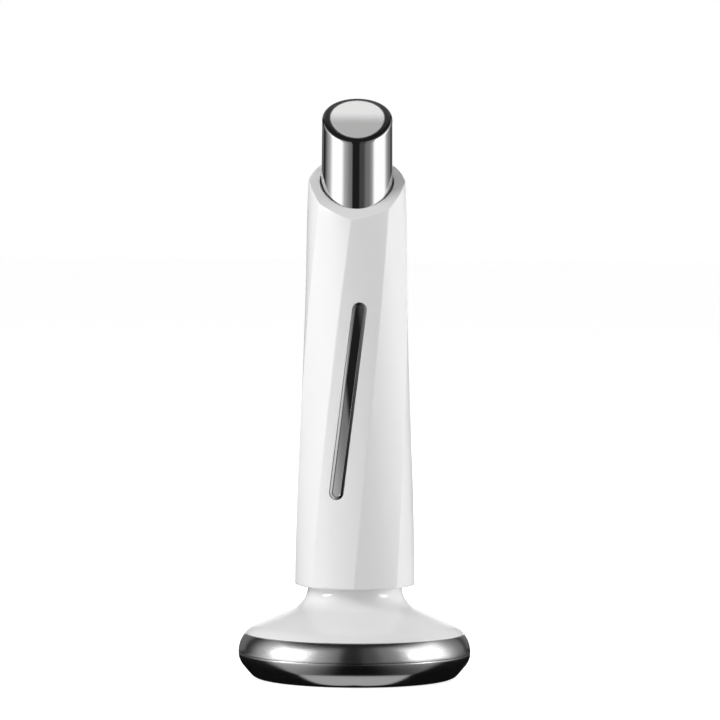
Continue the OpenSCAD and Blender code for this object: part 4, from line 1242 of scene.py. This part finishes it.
def direction(azimuth, elevation):
    """Unit vector at an azimuth and an elevation in degrees."""
    a, e = math.radians(azimuth), math.radians(elevation)
    return np.array([math.sin(a) * math.cos(e), -math.cos(a) * math.cos(e), math.sin(e)])


def aimed(thing, spot, target):
    """Puts a lamp or camera at a spot and points it at a target."""
    back = unit(np.subtract(spot, target))
    side = unit(np.cross((0, 0, 1), back))
    axes = np.stack([side, np.cross(back, side), back], 1)
    thing.matrix_world = Matrix([*np.column_stack([axes, spot]), (0, 0, 0, 1)])


def lamp(name, azimuth, elevation, tone):
    """A square lamp that gives a white surface facing it, at the wand, the tone.

    Its power is the tone times the square of pi times the distance.
    """
    light = bpy.data.lights.new(name, "AREA")
    light.shape, light.size = "SQUARE", LAMP_SIZE
    light.energy = tone * (math.pi * LAMP_DISTANCE) ** 2
    made = bpy.data.objects.new(name, light)
    bpy.context.scene.collection.objects.link(made)
    target = np.array([0, 0, 60 * MM])
    aimed(made, target + direction(azimuth, elevation) * LAMP_DISTANCE, target)
    made.visible_glossy = False


def stage_mesh(name, profile, material):
    """A plain turned surface of the stage, by its profile's radii and heights."""
    rows = turned(profile, STAGE_COLUMNS)
    mesh = bpy.data.meshes.new(name)
    faces = grid_faces(len(rows), STAGE_COLUMNS, False)
    mesh.from_pydata(rows.reshape(-1, 3), [], faces.tolist())
    mesh.validate()
    mesh.shade_smooth()
    made = put(name, mesh, material)
    return made


def glow_material(name):
    """A material that only shines; its tree and its shining node."""
    material, tree = new_material(name)
    tree.nodes.clear()
    out = tree.nodes.new("ShaderNodeOutputMaterial")
    shine = tree.nodes.new("ShaderNodeEmission")
    tree.links.new(shine.outputs[0], out.inputs[0])
    return material, tree, shine


def room_group():
    """Group that gives the level of the room round the wand by azimuth and elevation."""
    known = bpy.data.node_groups.get("room_light")
    if known:
        return known
    number = "NodeSocketFloat"
    inputs = [("Azimuth", number, 0.0), ("Elevation", number, 0.0)]
    tree, given, result = effect("room_light", inputs, [("Level", number)])
    azimuth, elevation = given.outputs[0], given.outputs[1]
    glows = []
    for start, start_edge, end, end_edge, low, high, edge, level in PANELS.values():
        edges = [
            between(tree, azimuth, start - start_edge, start + start_edge),
            between(tree, azimuth, end + end_edge, end - end_edge),
            between(tree, elevation, low - edge, low + edge),
            between(tree, elevation, high + edge, high - edge),
        ]
        glows.append(product(tree, level, *edges))
    tree.links.new(total(tree, *glows), result.inputs[0])
    return tree


def in_degrees(tree, value):
    """An angle in radians turned into degrees."""
    return product(tree, value, 360 / TAU)


def off_axis(tree, x, y):
    """Distance from the wand's axis."""
    return maths(tree, "SQRT", total(tree, product(tree, x, x), product(tree, y, y)))


def build_room():
    """A dome that only polished surfaces see, lit by the panels."""
    material, tree, shine = glow_material("room_glow")
    x, y, z = object_axes(tree)
    azimuth = maths(tree, "ARCTAN2", x, product(tree, y, -1.0))
    elevation = maths(tree, "ARCTAN2", z, off_axis(tree, x, y))
    angles = {0: in_degrees(tree, azimuth), 1: in_degrees(tree, elevation)}
    room = add(tree, "ShaderNodeGroup", angles, node_tree=room_group())
    tree.links.new(room.outputs[0], shine.inputs["Strength"])
    profile = bow((0, 0), ROOM_R, arc(0, 90, 24))
    only_reflected(stage_mesh("studio_room", profile, material))


def only_reflected(thing):
    """Hides a stage piece from everything but reflections."""
    for ray in ("camera", "diffuse", "shadow", "transmission", "volume_scatter"):
        setattr(thing, "visible_" + ray, False)


def build_floor():
    """The pale floor that shows white and keeps a soft shadow.

    To the camera the floor adds a glow to the light that it gets, so that it is white where
    nothing shades it. Polished metal sees the table top instead.
    """
    s = settings().studio
    material, tree = new_material("floor_white")
    shader = tree.nodes["Principled BSDF"]
    shader.inputs["Roughness"].default_value = 0.9
    where = add(tree, "ShaderNodeTexCoord").outputs["Object"]
    mottle = add(tree, "ShaderNodeTexNoise", {"Vector": where, "Scale": 30.0, "Detail": 3.0})
    pale = tinted(tree, mottle.outputs[0], (0.76, 0.76, 0.76, 1), (0.78, 0.78, 0.78, 1))
    tree.links.new(pale, shader.inputs["Base Color"])
    shader.inputs["Emission Color"].default_value = (1, 1, 1, 1)
    seen = add(tree, "ShaderNodeLightPath").outputs["Is Camera Ray"]
    tree.links.new(product(tree, seen, s.floor_glow), shader.inputs["Emission Strength"])
    floor_z = -0.02 * MM
    floor = stage_mesh("studio_floor", [(r, floor_z) for r in (0, 0.1, ROOM_R, FLOOR_R)], material)
    floor.visible_glossy = False
    build_table(2 * floor_z)


def build_table(table_z):
    """The table top that polished metal sees.

    Its front part takes the room's light, dimmer near the wand and on the right, and has a
    pale bar at the plate's foot. Behind a bent line it is black, up to a little way off.
    """
    dark, tree, shine = glow_material("table_glow")
    x, y, _ = object_axes(tree)
    away, front = off_axis(tree, x, y), product(tree, y, -1.0)
    azimuth = in_degrees(tree, maths(tree, "ARCTAN2", x, front))
    room = add(tree, "ShaderNodeGroup", {0: azimuth, 1: 0.0}, node_tree=room_group())
    left = product(tree, between(tree, azimuth, *NEAR_LEFT_TURN), NEAR_LEFT)
    right = product(tree, between(tree, azimuth, *NEAR_RIGHT_TURN), NEAR_RIGHT)
    near = product(tree, total(tree, left, right), away)
    near = maths(tree, "DIVIDE", near, NEAR_AWAY)
    side = blended(tree, between(tree, azimuth, *FAR_TURN), FAR_LEFT, FAR_RIGHT)
    far = product(tree, room.outputs[0], side)
    light = blended(tree, between(tree, away, *FAR_AWAY), near, far)
    ahead = maths(tree, "MULTIPLY_ADD", maths(tree, "ABSOLUTE", x), BLACK_BEND, front)
    ahead = maths(tree, "SUBTRACT", ahead, BLACK_LINE)
    soft = maths(tree, "MAXIMUM", maths(tree, "SUBTRACT", away, BAR_R), 0.0)
    soft = maths(tree, "MULTIPLY_ADD", soft, BLACK_SPREAD, BLACK_SOFT)
    mask = between(tree, maths(tree, "DIVIDE", ahead, soft), -1.0, 1.0)
    mask = maths(tree, "MAXIMUM", mask, between(tree, away, *BLACK_END))
    bar = product(tree, between(tree, away, BAR_R, BAR_R - 1 * MM), BAR_LEVEL)
    level = maths(tree, "MULTIPLY_ADD", mask, maths(tree, "MAXIMUM", light, bar), BLACK_LEVEL)
    tree.links.new(level, shine.inputs["Strength"])
    profile = [(r, table_z) for r in (0, 0.02, 0.03, 0.1, ROOM_R)]
    only_reflected(stage_mesh("studio_table", profile, dark))


def build_world():
    """White for the camera, an even tone for everything else."""
    world = bpy.data.worlds.new("studio_world")
    bpy.context.scene.world = world
    world.use_nodes = True
    tree = world.node_tree
    back = tree.nodes["Background"]
    back.inputs["Color"].default_value = (1, 1, 1, 1)
    path = add(tree, "ShaderNodeLightPath").outputs
    seen = maths(tree, "MAXIMUM", path["Is Camera Ray"], path["Is Glossy Ray"])
    seen = maths(tree, "MAXIMUM", seen, path["Is Transmission Ray"])
    tree.links.new(blended(tree, seen, settings().studio.ambient, 1.0), back.inputs["Strength"])


def build_camera():
    """A long lens in front of the wand, a little above its middle, tipped down and rolled."""
    s = settings().studio
    camera = bpy.data.cameras.new("camera")
    camera.lens, camera.sensor_width, camera.sensor_fit = s.lens, 36, "HORIZONTAL"
    camera.clip_start, camera.clip_end = 0.01, 20
    seat = bpy.data.objects.new("camera", camera)
    bpy.context.scene.collection.objects.link(seat)
    target = np.array([s.aim_x, 0, s.aim_z])
    aimed(seat, target + direction(0, math.degrees(s.pitch)) * s.distance, target)
    seat.matrix_world = seat.matrix_world @ Matrix.Rotation(s.roll, 4, "Z")
    bpy.context.scene.camera = seat


def build_studio():
    """Camera, lamps, floor, world and what the metal reflects."""
    s = settings().studio
    bpy.context.scene.view_settings.view_transform = "Standard"
    build_camera()
    build_world()
    build_floor()
    build_room()
    for name, (azimuth, elevation, tone) in LAMPS.items():
        lamp(name, azimuth, elevation, getattr(s, tone))


# ---- Operators and panel ----


class WAND_OT_handle(bpy.types.Operator):
    """Build the twisted handle with its openings"""

    bl_idname = "wand.build_handle"
    bl_label = "Handle"

    def execute(self, context):
        build_handle()
        return {"FINISHED"}


class WAND_OT_tip(bpy.types.Operator):
    """Build the eye tip"""

    bl_idname = "wand.build_tip"
    bl_label = "Eye Tip"

    def execute(self, context):
        build_tip()
        return {"FINISHED"}


class WAND_OT_strip(bpy.types.Operator):
    """Build the contact strip"""

    bl_idname = "wand.build_strip"
    bl_label = "Contact Strip"

    def execute(self, context):
        build_strip()
        return {"FINISHED"}


class WAND_OT_back(bpy.types.Operator):
    """Build the button, the light window and the charging socket"""

    bl_idname = "wand.build_back"
    bl_label = "Button, Light and Socket"

    def execute(self, context):
        build_button()
        build_window()
        build_socket()
        return {"FINISHED"}


class WAND_OT_base(bpy.types.Operator):
    """Build the base with its ring and plate"""

    bl_idname = "wand.build_base"
    bl_label = "Base"

    def execute(self, context):
        build_base()
        return {"FINISHED"}


class WAND_OT_inside(bpy.types.Operator):
    """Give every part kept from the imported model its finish"""

    bl_idname = "wand.dress_inside"
    bl_label = "Inner Parts"

    def execute(self, context):
        dress_inside()
        return {"FINISHED"}


class WAND_OT_studio(bpy.types.Operator):
    """Set up the camera, the lamps, the floor and the room that the metal reflects"""

    bl_idname = "wand.build_studio"
    bl_label = "Studio"

    def execute(self, context):
        build_studio()
        return {"FINISHED"}


PIECES = (
    WAND_OT_handle,
    WAND_OT_tip,
    WAND_OT_strip,
    WAND_OT_back,
    WAND_OT_base,
    WAND_OT_inside,
    WAND_OT_studio,
)


class WAND_PT_pieces(bpy.types.Panel):
    """Lists the wand's pieces"""

    bl_label = "Eye Massager Wand"
    bl_idname = "WAND_PT_pieces"
    bl_space_type = "VIEW_3D"
    bl_region_type = "UI"
    bl_category = "Wand"

    def draw(self, context):
        for kind in PIECES:
            self.layout.operator(kind.bl_idname)


SETTING_GROUPS = (
    HandleSizes,
    TipSizes,
    StripSizes,
    BackSizes,
    BaseSizes,
    Finishes,
    StudioSizes,
    WandSettings,
)


def register():
    for kind in (*SETTING_GROUPS, *PIECES, WAND_PT_pieces):
        bpy.utils.register_class(kind)
    bpy.types.Scene.wand = group(WandSettings, "Wand", "All settings of the wand")


def unregister():
    del bpy.types.Scene.wand
    for kind in reversed((*SETTING_GROUPS, *PIECES, WAND_PT_pieces)):
        bpy.utils.unregister_class(kind)


def main():
    """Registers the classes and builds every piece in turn."""
    register()
    for kind in PIECES:
        group, name = kind.bl_idname.split(".")
        getattr(getattr(bpy.ops, group), name)()


if __name__ == "__main__":
    main()
